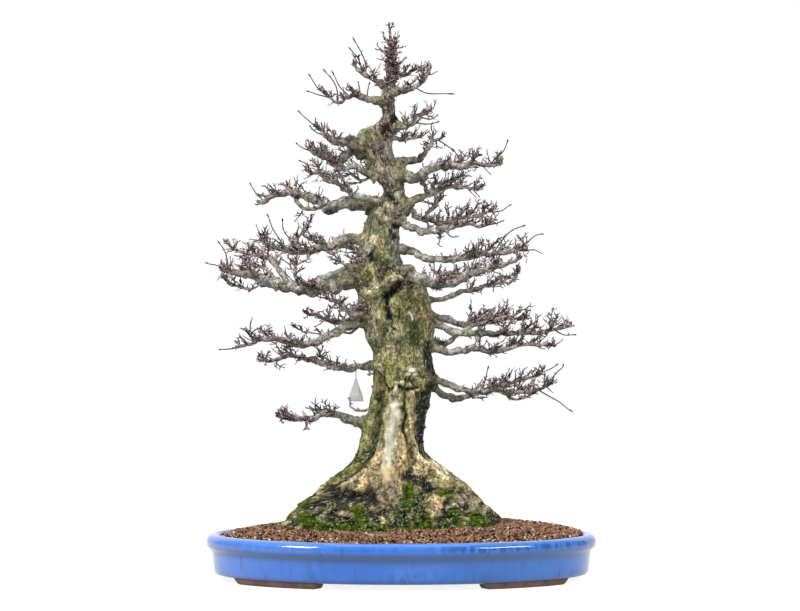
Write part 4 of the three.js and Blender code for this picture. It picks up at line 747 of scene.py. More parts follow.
def bark_share(degrees, z):
    valley = np.ones_like(z, dtype=float)
    for root, strength in ROOTS:
        off = np.abs((degrees - root + 540) % 360 - 180)
        valley = np.minimum(valley, 1 - strength * np.exp(-((off / 12) ** 2)))
    share = 1 - np.interp(z, *zip(*FLUTE_DEPTH)) * valley
    for direction, height, wide, tall, swell in BURRS:
        off = ((degrees - direction + 540) % 360 - 180) / wide
        share = share + swell * np.exp(-(off**2) - ((z - height) / tall) ** 2)
    return share


def trunk_point(degrees, z):
    """Points of the plain trunk surface and their outward directions."""
    left, right, front, back = outline(z)
    share = bark_share(degrees, z)
    turn = np.radians(degrees)
    out = np.stack([np.cos(turn), np.sin(turn), np.zeros_like(turn)], axis=-1)
    x = (left + right) / 2 + (right - left) / 2 * share * np.cos(turn)
    y = (front + back) / 2 + (back - front) / 2 * share * np.sin(turn)
    return np.stack([x, y, z], axis=-1), out


def srgb(red, green, blue):
    """Linear colour from the usual values of 0 to 255."""
    colour = np.array([red, green, blue]) / 255
    return np.where(colour <= 0.04045, colour / 12.92, ((colour + 0.055) / 1.055) ** 2.4)


# Colours of bark, moss and stains; black and grey also serve as painted shade
TINTS = {
    "khaki": srgb(158, 150, 96),
    "lime": srgb(142, 144, 78),
    "olive": srgb(108, 110, 56),
    "green": srgb(72, 84, 42),
    "beige": srgb(176, 166, 132),
    "tan": srgb(182, 160, 116),
    "cream": srgb(213, 207, 184),
    "pale": srgb(216, 200, 164),
    "ochre": srgb(162, 136, 90),
    "pink": srgb(160, 138, 112),
    "mauve": srgb(138, 122, 104),
    "ash": srgb(136, 127, 116),
    "grey": srgb(122, 122, 112),
    "brown": srgb(104, 88, 58),
    "black": srgb(22, 23, 19),
    "moss_dark": srgb(26, 44, 4),
    "moss_light": srgb(98, 120, 16),
}

# Forms of the bark in front. Each follows points (x, z) and has a half-width, a relief in
# millimetres, a tint and its strength. One point alone makes a knob or a pit.
# Black forms set in hollows, slits, grooves and under overhangs, and one grey strip, are painted shade
FORMS = [
    # Left edge of the lower trunk, then the groove beside it, with painted shade (black) at its lower end
    ([(-52, 318), (-56, 280), (-62, 240), (-76, 214)], 9, 1.5, "lime", 0.6),
    ([(-44, 347), (-44, 320), (-45, 296)], 5, 1.0, "khaki", 0.7),
    ([(-33, 334), (-31, 300), (-34, 268)], 5, 0.0, "brown", 0.6),
    ([(-37, 312), (-37, 270), (-42, 240), (-51, 218), (-70, 198)], 8, -5.0, "green", 0.85),
    ([(-37, 300), (-38, 262), (-44, 236)], 2.6, -1.6, "brown", 0.7),
    ([(-48, 222), (-58, 208), (-74, 190)], 4.5, -3.0, "black", 0.6),
    # Smooth cream stripe and the tan wood beside it
    ([(1, 256), (1, 215), (-2, 185), (-6, 160)], 13, 1.5, "tan", 0.9),
    ([(-10, 330), (-11, 300), (-12, 284)], 7, 2.5, "beige", 0.8),
    ([(-12, 292), (-13, 262), (-20, 235), (-24, 205), (-23, 174)], 9.0, 3.2, "cream", 1.0),
    # Grooves and ridges to the right of it, with painted shade (black) in two grooves
    ([(4, 318), (5, 284), (6, 262), (10, 238), (14, 208), (17, 182)], 5, -5.5, "khaki", 0.7),
    ([(5, 300), (6, 268), (11, 240)], 2.4, -2.0, "black", 0.6),
    ([(18, 320), (18, 280), (18, 245), (20, 222)], 5, 3.5, "tan", 0.75),
    ([(28, 312), (29, 275), (30, 240), (31, 215)], 4, -3.0, "green", 0.8),
    ([(18, 224), (28, 208), (44, 196), (60, 184), (78, 170)], 10, 6.5, "tan", 1.0),
    # Painted shade in the groove on the shaded right side
    ([(38, 312), (38, 280), (36, 250), (37, 224), (44, 204)], 8, -3.0, "black", 0.85),
    # Roots that sweep down to the left
    ([(-36, 212), (-48, 190), (-58, 172), (-72, 153)], 10, 6.0, "tan", 0.95),
    ([(-70, 206), (-94, 184), (-118, 168), (-136, 158)], 10, 4.0, "olive", 0.9),
    ([(-118, 172), (-136, 160)], 5, 1.5, "lime", 0.8),
    ([(-66, 190), (-92, 172), (-116, 158), (-150, 136)], 3.2, -2.5, "brown", 0.9),
    ([(-140, 146), (-163, 134), (-184, 112), (-196, 96)], 8, 4.0, "khaki", 0.6),
    ([(-72, 178), (-96, 160), (-126, 142), (-162, 112)], 4.5, 3.5, "beige", 0.8),
    # Hollows in the root plate, painted black as shade
    ([(-114, 147), (-90, 143), (-60, 142), (-38, 142)], 13.5, -7.0, "black", 1.0),
    ([(-158, 122), (-130, 134), (-106, 130)], 9, -5.0, "black", 0.8),
    ([(10, 180), (32, 166), (54, 152)], 11, -6.5, "black", 1.0),
    ([(22, 218), (34, 204), (50, 192), (72, 176)], 4.5, 1.0, "pale", 0.9),
    ([(6, 152), (14, 138)], 7, -4.0, "black", 0.6),
    ([(-60, 110), (-30, 118)], 8, -3.0, "black", 0.6),
    ([(30, 128), (36, 106)], 8, -4.0, "black", 0.7),
    ([(84, 108), (90, 96)], 7, -4.0, "black", 0.7),
    # Middle foot, knob and hanging strands on the right
    ([(-20, 180), (-18, 152), (-14, 134)], 14, 4.5, "tan", 0.8),
    ([(-16, 156), (-12, 128)], 11, 0.0, "mauve", 0.75),
    ([(-36, 150), (-30, 128)], 6, 2.5, "mauve", 0.7),
    ([(-28, 112), (-24, 94)], 6, 4.0, "tan", 0.7),
    ([(60, 140), (59, 122)], 11, 8.0, "tan", 0.8),
    ([(88, 148), (99, 139), (103, 122)], 4, 3.5, "mauve", 0.8),
    ([(106, 147), (119, 133), (124, 116)], 4.5, 3.5, "mauve", 0.8),
    ([(82, 140), (89, 122)], 3.5, 2.5, "beige", 0.7),
    ([(76, 166), (98, 160), (128, 146), (152, 124), (172, 106)], 7, 3.0, "khaki", 0.6),
    # Swelling on the left of the middle, green stains and the wrinkled strip between them
    ([(-47, 447), (-48, 414)], 14, 3.0, "beige", 0.6),
    ([(-6, 464), (-4, 432)], 9, 1.0, "lime", 0.75),
    ([(-4, 429), (-5, 410)], 9, 1.2, "beige", 0.7),
    ([(16, 436), (21, 404)], 13, -1.0, "green", 0.75),
    ([(-20, 372), (-21, 332)], 11, 2.2, "lime", 0.4),
    ([(4, 392), (0, 362)], 9, 1.0, "khaki", 0.6),
    ([(31, 452), (32, 445)], 5, 1.5, "ochre", 0.6),
    ([(44, 468), (46, 446)], 4, 1.0, "pink", 0.9),
    ([(13, 451), (19, 441)], 2.4, 1.2, "cream", 0.9),
    # Cracked callus with the slit below it; the black in the slit is painted shadow under the callus
    ([(15, 349)], 9.5, 7.5, "cream", 0.95),
    ([(28, 335)], 6, 4.5, "beige", 0.9),
    ([(3, 332)], 5.5, 3.5, "cream", 0.7),
    ([(6, 352), (14, 347), (24, 351)], 1.3, -2.6, "brown", 0.8),
    ([(15, 347), (13, 337), (21, 330)], 1.3, -2.6, "black", 0.8),
    ([(9, 341), (9, 333)], 1.3, -2.4, "black", 0.7),
    # Painted shadow under the callus
    ([(-1, 324), (12, 321), (27, 325)], 2.8, -8.0, "black", 1.0),
    # Dark flank on the right: partly dark algae on the bark, partly painted shade
    ([(46, 396), (43, 374), (50, 350)], 9, 1.0, "black", 0.9),
    ([(45, 328), (46, 308), (46, 290)], 8, 2.5, "black", 0.85),
    # Folded edge of the bark on the left, with a line of painted shade under it
    ([(-30, 342), (-28, 330), (-22, 320), (-14, 325)], 2.2, -5.0, "black", 0.95),
    # Overhanging lip and the hollow under it, painted black as the lip's shadow
    ([(6, 513), (-10, 507), (-34, 495), (-55, 485)], 9, 8.0, "beige", 0.5),
    ([(1, 499), (-14, 487), (-30, 474)], 6.5, -13.0, "black", 1.0),
    ([(-31, 474), (-26, 456), (-20, 443)], 5.5, -10.0, "black", 0.95),
    ([(-18, 444), (-12, 424)], 4.5, -4.0, "green", 0.8),
    # Upper trunk
    ([(-40, 541), (-24, 527)], 11, 0.0, "green", 0.6),
    ([(-35, 572), (-30, 551)], 4, 1.0, "ochre", 0.6),
    # Painted shade: the grey strip on the right flank
    ([(-13, 588), (-8, 560), (-3, 534)], 8.5, -1.0, "grey", 0.85),
    # Painted shadows (black): beside the front stub, then under a limb's crotch
    ([(-53, 549), (-51, 536)], 4.5, -6.0, "black", 0.9),
    ([(-9, 598), (-2, 593)], 5, -5.0, "black", 0.95),
    ([(-17, 589), (-13, 577)], 4, -2.0, "black", 0.6),
    ([(-36, 617), (-28, 606)], 7, 3.0, "beige", 0.9),
    ([(-45, 576), (-44, 566)], 5.5, 3.0, "beige", 0.9),
    # Painted shadow (black) in the hollow under the upper stub
    ([(-20, 646), (-12, 636)], 7.5, -5.0, "black", 0.8),
    ([(-30, 664), (-34, 690)], 9, 2.0, "mauve", 0.7),
    ([(-14, 700), (-22, 668)], 6, 1.0, "grey", 0.7),
    ([(-40, 745), (-46, 715)], 8, 2.0, "beige", 0.6),
]

# Moss in front: route (x, z), half-width and strength
MOSS = [
    ([(11, 158), (13, 130)], 10, 1.0), ([(-69, 118), (-70, 104)], 12, 1.0),
    ([(-156, 106), (-140, 90)], 15, 1.0), ([(-190, 116), (-160, 140)], 9, 1.0),
    ([(66, 151), (80, 146)], 5, 0.9), ([(86, 122), (96, 98)], 9, 0.8),
    ([(20, 96), (72, 82)], 10, 1.0), ([(-104, 94), (-36, 82)], 9, 0.8),
    ([(122, 108), (150, 90)], 12, 0.7), ([(-122, 174), (-102, 181)], 7, 0.8),
    ([(-150, 100), (-110, 92)], 9, 0.7), ([(34, 118), (50, 104)], 8, 0.5),
    ([(14, 440), (22, 404)], 10, 0.35), ([(-6, 462), (-2, 436)], 7, 0.45),
    ([(-24, 300), (-34, 262)], 5, 0.4), ([(8, 314), (7, 290)], 6, 0.4),
    ([(-14, 782), (-16, 772)], 7, 0.9), ([(-26, 764), (-30, 752)], 8, 0.9),
    ([(-60, 228), (-72, 210)], 6, 0.4), ([(-10, 118), (0, 104)], 7, 0.5),
]

# Rows and columns of the trunk's points, and the size of its flecks
TRUNK_ROWS = np.concatenate([np.arange(50, 222, 1.8), np.arange(222, 640, 2.4), np.arange(640, 918, 3),
                             np.arange(918, 943, 4)])
TRUNK_COLUMNS = 214
FLECK_SIZE = (2.6, 2.6, 3.4)

# Short twigs that stand straight out of the trunk's front: x, z and how many
TRUNK_SPROUTS = [
    (8, 506, 5), (0, 512, 4), (12, 498, 3), (-24, 520, 3), (-40, 512, 3), (-62, 488, 4), (-50, 474, 3),
    (-34, 630, 5), (-22, 616, 3), (-8, 606, 4), (-30, 700, 4), (-44, 722, 5), (-26, 742, 5), (-40, 350, 5),
    (-34, 762, 4), (-20, 792, 4), (-26, 664, 3), (-14, 652, 4),
    (-17, 897, 7), (-17, 881, 9), (-18, 866, 9), (-14, 851, 9), (-20, 838, 8), (-13, 822, 6), (-21, 804, 5),
]


def beside(points, path):
    """Distance in x and z from points to a path in the front view."""
    here = points[:, [0, 2]]
    path = np.array(path, float)
    if len(path) == 1:
        return np.linalg.norm(here - path[0], axis=1)
    best = np.full(len(here), 1e9)
    for a, b in zip(path, path[1:]):
        d = b - a
        t = np.clip(((here - a) @ d) / (d @ d), 0, 1)
        best = np.minimum(best, np.linalg.norm(here - a - t[:, None] * d, axis=1))
    return best


def limb_exits():
    """Where each limb's middle line leaves the trunk, with the limb's radius there."""
    found = {}
    for name, (base, _, _, _, waypoints) in LIMBS.items():
        curve = smooth_curve(waypoints, 12)
        last = max((i for i, p in enumerate(curve) if in_trunk(p, -1)), default=0)
        found[name] = (curve[last], base)
    return found


exits = limb_exits()


def blend(colours, tint, amount):
    return colours + (TINTS[tint] - colours) * np.clip(amount, 0, 1)[:, None]


def smoothed(field, turns):
    """A field on the trunk's grid, smoothed by repeated averaging with its neighbours."""
    for _ in range(turns):
        around = (np.roll(field, 1, axis=1) + np.roll(field, -1, axis=1)) / 2
        padded = np.pad(field, ((1, 1), (0, 0)), mode="edge")
        field = (field * 2 + around + (padded[:-2] + padded[2:]) / 2) / 4
    return field


def bark_ground(points, front):
    """The colour of plain bark: tan at the roots, olive in the middle, greyer above."""
    height = points[:, 2]
    broad = lump(points, 34, 2.2)
    patchy = lump(points * (1, 1, 0.6), 12, 6.1)
    streak = lump(points * (1, 1, 0.22), 9, 4.4)
    tan = np.interp(height, [60, 170, 215, 270, 340, 560], [0.5, 0.8, 0.6, 0.3, 0.1, 0.1])
    olive = np.interp(height, [60, 200, 300, 400, 500, 620, 900], [0.4, 0.35, 0.7, 0.85, 0.7, 0.5, 0.35])
    grey = np.interp(height, [300, 480, 620, 700, 900], [0.1, 0.35, 0.6, 0.75, 0.6])
    colours = np.tile(TINTS["khaki"], (len(points), 1))
    colours = blend(colours, "beige", (0.5 + 1.5 * broad) * 0.8)
    colours = blend(colours, "tan", (0.6 + 1.2 * streak) * tan)
    colours = blend(colours, "grey", (0.35 - 1.6 * broad) * grey)
    colours = blend(colours, "mauve", (0.15 + 1.5 * patchy) * grey * 0.8)
    colours = blend(colours, "olive", (0.45 + 1.9 * patchy) * olive)
    colours = blend(colours, "green", (-0.35 - 2.2 * np.where(height < 340, streak, patchy)) * olive)
    colours = blend(colours, "black", (1 - front) * (-0.3 - 1.5 * streak))
    colours = blend(colours, "ash", np.interp(height, [520, 620, 740, 820], [0, 0.45, 0.7, 0.85]))
    levels = [200, 300, 440, 600, 700, 800, 900]
    return colours * np.interp(height, levels, [1, 1.12, 1.1, 1.12, 0.95, 0.85, 0.7])[:, None]


def trunk_grid():
    """Directions and heights of the trunk's points, with more columns in front than behind."""
    turn = np.arange(TRUNK_COLUMNS) / TRUNK_COLUMNS * 2 * math.pi
    degrees = np.tile(np.degrees(turn - 0.42 * np.sin(turn)) - 90, (len(TRUNK_ROWS), 1)).ravel()
    return degrees, np.tile(TRUNK_ROWS[:, None], (1, TRUNK_COLUMNS)).ravel()


def moss_cover(points, wander, front, plate, rough, fine):
    """How mossy the bark is, 0 to 1: in patches, at the foot and behind on the root plate."""
    moss = np.zeros(len(points))
    for path, width, strength in MOSS:
        near = np.exp(-((beside(wander, path) / width) ** 2)) * front
        moss = np.maximum(moss, strength * near)
    low = np.clip((112 - points[:, 2]) / 16, 0, 1)
    moss = np.maximum(moss, low * (0.2 + 1.5 * lump(points, 13, 8.2)))
    moss = np.maximum(moss, (1 - front) * plate * (0.35 + 1.1 * lump(points, 24, 3.9)))
    return np.clip((moss + 0.55 * rough + 0.2 * fine - 0.42) / 0.16, 0, 1)


def add_texture(relief, points, smooth_wood, rough, fine):
    """Lumps and fibres of the bark, none at the tip, and a collar where each limb leaves."""
    height = points[:, 2]
    top = np.clip((935 - height) / 60, 0, 1)
    fibre = lump(points * (1, 1, 0.22), 5.5, 2.3, 2)
    relief = relief + lump(points, 30, 1.7) * 1.6 * top
    relief += rough * 0.9 * top * (1 - 0.6 * smooth_wood)
    relief += fibre * np.interp(height, [120, 220, 330, 420], [0.4, 1.5, 1.2, 0.5]) * top
    relief += fine * 0.7 * top * (1 - 0.7 * smooth_wood)
    for centre, radius in exits.values():
        gap = np.linalg.norm(points - centre, axis=1)
        relief += 0.5 * radius * np.exp(-((gap / (1.6 * radius + 2)) ** 2))
    return relief


def weather_and_paint_shade(colours, height, relief, smooth_wood, moss, rough, fine, flecks):
    """Paints shade into the hollows and light onto the ridges, and adds flecks and the colour of moss."""
    grid = relief.reshape(len(TRUNK_ROWS), TRUNK_COLUMNS)
    # Painted shade in the hollows of the relief and painted light on its ridges
    painted_relief_shade = (grid - smoothed(grid, 10)).ravel() + 0.35 * (grid - smoothed(grid, 60)).ravel()
    colours = colours * np.clip(1 + 0.42 * painted_relief_shade, 0.3, 1.45)[:, None]
    colours = blend(colours, "cream", (2.4 * flecks - 0.75) * (1 - moss) * 0.75)
    colours = blend(colours, "black", (-2.8 * flecks - 0.72) * (1 - smooth_wood) * 0.85)
    colours = np.where(moss[:, None] > 0, blend(colours, "moss_dark", moss), colours)
    bright = np.interp(height, [200, 420], [1, 0.1])
    colours = colours * (1 - 0.35 * moss * (1 - bright))[:, None]
    return blend(colours, "moss_light", moss * (0.5 + 1.5 * fine + 0.7 * rough) * bright)


def trunk_mesh(points, colours):
    """The closed trunk with a colour for each point."""
    quads, tris = ring_faces(len(TRUNK_ROWS), TRUNK_COLUMNS)
    ends = [points[:TRUNK_COLUMNS].mean(0), points[-TRUNK_COLUMNS:].mean(0)]
    item = mesh_object("trunk_bark", np.concatenate([points, ends]), quads, tris)
    layer = item.data.color_attributes.new("tint", "FLOAT_COLOR", "POINT")
    full = np.ones((len(points) + 2, 4))
    full[:-2, :3] = np.clip(colours, 0.002, 0.9)
    full[-2:, :3] = 0.1
    layer.data.foreach_set("color", full.ravel())
    return item


def build_trunk():
    degrees, z = trunk_grid()
    points, out = trunk_point(degrees, z)
    height = points[:, 2]
    front = 1 / (1 + np.exp((points[:, 1] - 4) / 5))
    plate = np.clip((168 - height) / 45, 0, 1)
    shift = np.stack([lump(points, 24, 3.0, 2), np.zeros(len(points)), lump(points, 24, 9.0, 2)], axis=1)
    wander = points + shift * 5
    rough = lump(points, 6.5, 5.1)
    fine = lump(points, 3.4, 1.9, 2)
    colours = bark_ground(points, front)

    # Root plate: dark and lumpy, with pale ridges
    rock = lump(points, 17, 7.3, 4)
    colours = blend(colours, "brown", plate * (0.75 + 0.8 * rough))
    colours = blend(colours, "black", plate * (0.58 - 2.4 * rock))
    colours = blend(colours, "beige", plate * (1.8 * rock - 0.35))
    relief = plate * (6.5 * rock + 2.2 * rough)

    smooth_wood = np.zeros(len(points))
    for path, width, rise, tint, strength in FORMS:
        near = np.exp(-((beside(wander, path) / width) ** 2)) * front
        relief += rise * near
        colours = blend(colours, tint, strength * (near * 1.9 - 0.35 + 0.5 * rough * (tint != "cream")))
        if tint == "cream":
            smooth_wood = np.maximum(smooth_wood, near)

    moss = moss_cover(points, wander, front, plate, rough, fine)
    relief = add_texture(relief, points, smooth_wood, rough, fine)
    relief += moss * (1.6 + 1.6 * fine)
    flecks = lump(points, FLECK_SIZE, 11.0, 2)
    colours = weather_and_paint_shade(colours, height, relief, smooth_wood, moss, rough, fine, flecks)

    # The foot stays inside the plain solid's outline under the soil
    relief *= np.clip((height - 62) / 26, 0, 1)
    points = points + out * relief[:, None]
    item = trunk_mesh(points, colours)
    paint(item, "moss", np.concatenate([moss, [0, 0]]))
    paint(item, "smooth_wood", np.concatenate([smooth_wood, [0, 0]]))
    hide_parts("trunk")
    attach(item, "root")
    return item, points, moss


def build_trunk_sprouts(skin):
    """Short twigs on the trunk's burrs."""
    rng = np.random.default_rng(41)
    wood = Wood()
    front = skin[skin[:, 1] < 0]
    for x, z, number in TRUNK_SPROUTS:
        near = front[np.argsort(np.linalg.norm(front[:, [0, 2]] - (x, z), axis=1))[:60]]
        start = near[rng.integers(len(near), size=number)]
        heading = np.stack([rng.normal(0.0, 0.75, number), rng.normal(-0.55, 0.25, number),
                            rng.normal(0.55, 0.5, number)], axis=-1)
        sprout(wood, rng, start + (0, 1.5, 0), unit(heading), rng.uniform(7, 15, number),
               np.full(number, 1.25), np.full(number, 0.55), 2)
    item = wood.build("trunk_sprouts")
    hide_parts("trunk")
    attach(item, "root")
    return item


# Limbs and twigs


# How far out in X the twigs of a limb reach
REACH = {
    "limb_left_1": -211, "limb_left_2": -249, "limb_left_3": -279, "limb_left_4": -170,
    "limb_left_5": -142, "limb_left_6": -306, "limb_left_7": -246, "limb_left_8": -250,
    "limb_left_9": -168, "limb_left_10": -150, "limb_left_11": -164, "limb_left_12": -153,
    "limb_left_13": -145, "limb_left_14": -84, "limb_right_1": 262, "limb_right_2": 247,
    "limb_right_3": 258, "limb_right_4": 286, "limb_right_5": 222, "limb_right_6": 207,
    "limb_right_7": 199, "limb_right_8": 213, "limb_right_9": 167, "limb_right_10": 169,
    "limb_right_11": 145, "limb_right_12": 171, "limb_right_13": 75, "limb_right_15": 60,
    "limb_right_16": 50, "limb_right_17": 46,
}

# Limbs whose twigs stand further apart, and how much
SPARSE = {
    "limb_left_2": 1.5, "limb_left_3": 1.5, "limb_left_8": 1.5, "limb_left_9": 1.4,
    "limb_left_11": 1.4, "limb_left_12": 1.3, "limb_left_13": 1.4, "limb_right_1": 1.5,
    "limb_right_2": 1.4, "limb_right_4": 1.15,
}

# Turn in radians from one twig of a stem to the next
TWIG_TURN = 2.4
# Height above which the leader bears twigs all along
LEADER_START = 790


def sprout(wood, rng, start, heading, length, radius, young, depth):
    """Kinked spikes, some with a bud. Deeper ones bear smaller ones at their kink and at their end."""
    number = len(start)
    if not number:
        return
    long = length[:, None]
    heading = unit(heading * (1, 1, 0.85))
    middle = start + heading * long * 0.5 + rng.normal(0, 0.09, (number, 3)) * long
    end = start + heading * long * 0.95 + UP * long * 0.1
    last = unit(end - middle)
    shade = rng.random(number)
    bud = np.where(rng.random(number) < 0.3, 1.15, 0.62)
    path = np.stack([start, middle, end, end + last * 2.2], 1)
    girth = radius[:, None] * np.stack([np.full(number, 1.3), np.full(number, 0.95), bud], 1)
    inside = (end[:, 0] > wood.left) & (end[:, 0] < wood.right)
    wood.add(path[inside], girth[inside], 3, (young[:, None] + (0, 0.1, 0.2))[inside], shade[inside])
    if depth == 0:
        return
    side = unit(np.cross(heading, UP) + 1e-6)
    top = np.cross(side, heading)
    turn = rng.uniform(0, math.pi, number)
    for node, nearer, chance in ((middle, 0.9, 0.45), (end, 0.8, 0.65)):
        lateral = side * np.cos(turn)[:, None] + top * np.sin(turn)[:, None]
        for hand in (-1, 1):
            keep = (rng.random(number) < chance / wood.sparse**0.5) & inside
            lean = rng.uniform(0.5, 1.15, number)[:, None]
            branch = unit(last * np.cos(lean) + lateral * hand * np.sin(lean) + UP * 0.06)
            part = length * nearer * rng.uniform(0.3, 0.8, number)
            sprout(wood, rng, node[keep], branch[keep], part[keep], radius[keep] * 0.86,
                   np.minimum(young + 0.15, 1)[keep], depth - 1)
        turn = turn + math.pi / 2 + rng.uniform(-0.4, 0.4, number)


def spots_along(path, spacing, first, rng):
    """Points on a path, about evenly spaced from its given share on, with directions and shares."""
    steps = distances(path)
    at = np.arange(first * steps[-1] + rng.uniform(0, spacing), steps[-1], spacing)
    at = at + rng.uniform(-0.35, 0.35, len(at)) * spacing
    at = np.clip(at, 0, steps[-1] * 0.995)
    points = np.stack([np.interp(at, steps, path[:, k]) for k in range(3)], axis=-1)
    beyond = np.stack([np.interp(at + 2, steps, path[:, k]) for k in range(3)], axis=-1)
    before = np.stack([np.interp(at - 2, steps, path[:, k]) for k in range(3)], axis=-1)
    return points, unit(beyond - before + 1e-9), at / steps[-1]


def leaf_out(wood, rng, path, first, spacing, reach, radius, young, depth=1):
    """Twigs along a stem on all its sides, some of them forked."""
    points, ahead, share = spots_along(path, spacing * wood.sparse, first, rng)
    number = len(points)
    if not number:
        return
    side = unit(np.cross(UP, ahead) + 1e-6)
    top = np.cross(ahead, side)
    turn = np.arange(number) * TWIG_TURN + rng.uniform(0, 6) + rng.uniform(-0.5, 0.5, number)
    lateral = side * np.cos(turn)[:, None] + top * np.sin(turn)[:, None]
    lean = rng.uniform(0.6, 1.2, number)[:, None]
    heading = unit(ahead * np.cos(lean) + lateral * np.sin(lean) * (1, 1, 0.8) + UP * 0.12)
    length = reach * rng.uniform(0.35, 1.25, number) * (1.1 - 0.45 * share**2)
    age = np.clip(young + 0.3 * share, 0, 1)
    forked = rng.random(number) < 0.38
    for chosen, deep in ((forked, depth), (~forked, 0)):
        sprout(wood, rng, points[chosen], heading[chosen], length[chosen], np.full(number, radius)[chosen],
               age[chosen], deep)


def crooked(rng, waypoints, parts, wobble):
    """A smooth curve through waypoints with small kinks, still at both ends."""
    curve = smooth_curve(waypoints, parts)
    share = np.linspace(0, 1, len(curve))
    knots = max(3, len(curve) // 3)
    kinks = rng.normal(0, wobble, (knots, 3))
    shift = np.stack([np.interp(share, np.linspace(0, 1, knots), kinks[:, k]) for k in range(3)], axis=-1)
    return curve + shift * np.clip(np.minimum(share * 6, (1 - share) * 6), 0, 1)[:, None]


def bough(wood, rng, waypoints, root, tip, young, reach=10):
    """A side branch with its twigs and the spikes at its end."""
    path = crooked(rng, waypoints, 4, 1.0)
    share = np.linspace(0, 1, len(path))
    girth = tip + (root - tip) * (1 - share) ** 0.65
    girth = girth * (1 + 0.2 * np.sin(share * 23 + rng.uniform(0, 6)))
    ahead = unit(path[-1] - path[-2])
    ages = young + 0.45 * share
    wood.add(np.concatenate([path, [path[-1] + ahead * 2]])[None], girth[None], 6, ages[None], rng.random())
    leaf_out(wood, rng, path, 0.2, 4.4, reach, 1.2, young + 0.3)
    number = rng.integers(1, 4)
    heading = unit(ahead + rng.normal(0, 0.45, (number, 3)) + UP * 0.2)
    sprout(wood, rng, np.tile(path[-1], (number, 1)), heading, reach * rng.uniform(0.7, 2.0, number),
           np.full(number, 1.15), np.full(number, min(young + 0.4, 1)), 1)


def dress_spray(wood, rng, shape, start):
    """The finer wood of one side branch: its stem, its own twigs and more between them."""
    trail = [start] + [fork["point"] for fork in shape["forks"]]
    last = shape["forks"][-1]
    if len(last["tips"]) > 2:
        trail.append(last["tips"][2])
    trail = [trail[0]] + [point for point in trail[1:] if wood.left < point[0] < wood.right]
    if len(trail) < 2:
        return
    if len(trail) < 3:
        trail.insert(1, (trail[0] + trail[1]) / 2)
    for fork in shape["forks"]:
        tips = np.array(fork["tips"][:2])
        heading = tips - fork["point"]
        length = np.linalg.norm(heading, axis=1)
        sprout(wood, rng, np.tile(fork["point"], (2, 1)), unit(heading), length, np.full(2, 1.3),
               np.full(2, 0.5), 2 if length[0] > 11 else 1)
    bough(wood, rng, trail, shape["root"] * 1.45, 1.1, 0.12, 9)


def fill_boughs(wood, rng, path, first, spacing, reach, girth_at):
    """Side branches between those of the plain solids, most of them spreading to the sides."""
    points, ahead, share = spots_along(path, spacing * wood.sparse, first, rng)
    for point, forward, part in zip(points, ahead, share):
        side = unit(np.cross(UP, forward) + 1e-6)
        top = np.cross(forward, side)
        flat = rng.random() < 0.72
        if flat:
            turn = rng.choice((0, math.pi)) + rng.normal(0, 0.35)
        else:
            turn = rng.normal(math.pi / 2, 0.8)
        lean = rng.uniform(0.55, 1.15)
        heading = forward * math.cos(lean) + (side * math.cos(turn) + top * math.sin(turn)) * math.sin(lean)
        length = reach * rng.uniform(0.5, 1.1) * (1.2 - 0.8 * part**2) * (1.15 if flat else 0.62)
        bend = unit(heading + UP * 0.2 + rng.normal(0, 0.3, 3))
        middle = point + heading * length * 0.5
        root = min(girth_at(part) * 0.75, 3.4)
        bough(wood, rng, [point, middle, middle + bend * length * 0.5], root, 1.1, 0.05 + 0.3 * part)


def long_shoots(wood, rng, path, number, length):
    """Slender unbranched shoots from the outer part of a stem."""
    if not number:
        return
    share = rng.uniform(0.35, 1.0, number)
    points = path[(share * (len(path) - 1)).astype(int)]
    ahead = unit(path[-1] - path[len(path) // 2])
    heading = unit(ahead * 0.75 + rng.normal(0, 0.55, (number, 3)) + UP * 0.35)
    bend = unit(heading + rng.normal(0, 0.25, (number, 3)) + UP * 0.2)
    reach = (length * rng.uniform(0.6, 1.15, number))[:, None]
    middle = points + heading * reach * 0.5
    stem = [points, middle, middle + bend * reach * 0.3, middle + bend * reach * 0.5,
            middle + bend * (reach * 0.5 + 2)]
    shade = rng.uniform(0.1, 0.9, number)
    wood.add(np.stack(stem, 1), np.tile([1.3, 1.0, 0.75, 0.95], (number, 1)), 4,
             np.tile([0.5, 0.8, 0.9, 1.0], (number, 1)), shade)


def thick_stem(wood, curve, girth, young, shade):
    """A stem with knobs and lumps."""
    sides = 10
    knot_size = 7.5
    lump_size = 9
    knots = np.array([noise.noise(Vector(p / knot_size) + Vector((shade, 0, 0))) for p in curve])
    girth = girth * (1 + 0.42 * knots)
    ring = np.arange(sides) / sides * 2 * math.pi
    grid = np.stack([np.cos(ring)[None] * 1.3 + curve[:, :1] / lump_size,
                     np.sin(ring)[None] * 1.3 + curve[:, 1:2] / lump_size,
                     np.tile(curve[:, 2:] / lump_size, (1, sides))], axis=-1)
    lumps = 1 + 0.3 * np.array([noise.noise(Vector(p)) for p in grid.reshape(-1, 3)]).reshape(-1, sides)
    end = curve[-1] + unit(curve[-1] - curve[-2]) * 2
    wood.add(np.concatenate([curve, [end]])[None], (girth[:, None] * lumps)[None], sides, young[None], shade)


def dress_arms(wood, rng, name):
    """The second stems of a limb with their twigs."""
    for owner, base, tip, number, waypoints in ARMS:
        if owner != name:
            continue
        curve = crooked(rng, waypoints, 7, 1.2)
        girth = arm_radii(curve, base, tip) * 1.1
        young = np.linspace(0.1, 0.3 if tip > 2 else 0.7, len(curve))
        thick_stem(wood, curve, girth, young, 0.8)
        if number:
            fill_boughs(wood, rng, curve, 0.3, 10, 15, lambda part: base + (tip - base) * part)
            long_shoots(wood, rng, curve, number, 24)
        leaf_out(wood, rng, curve, 0.25, 8, 8, 1.2, 0.5, 1)


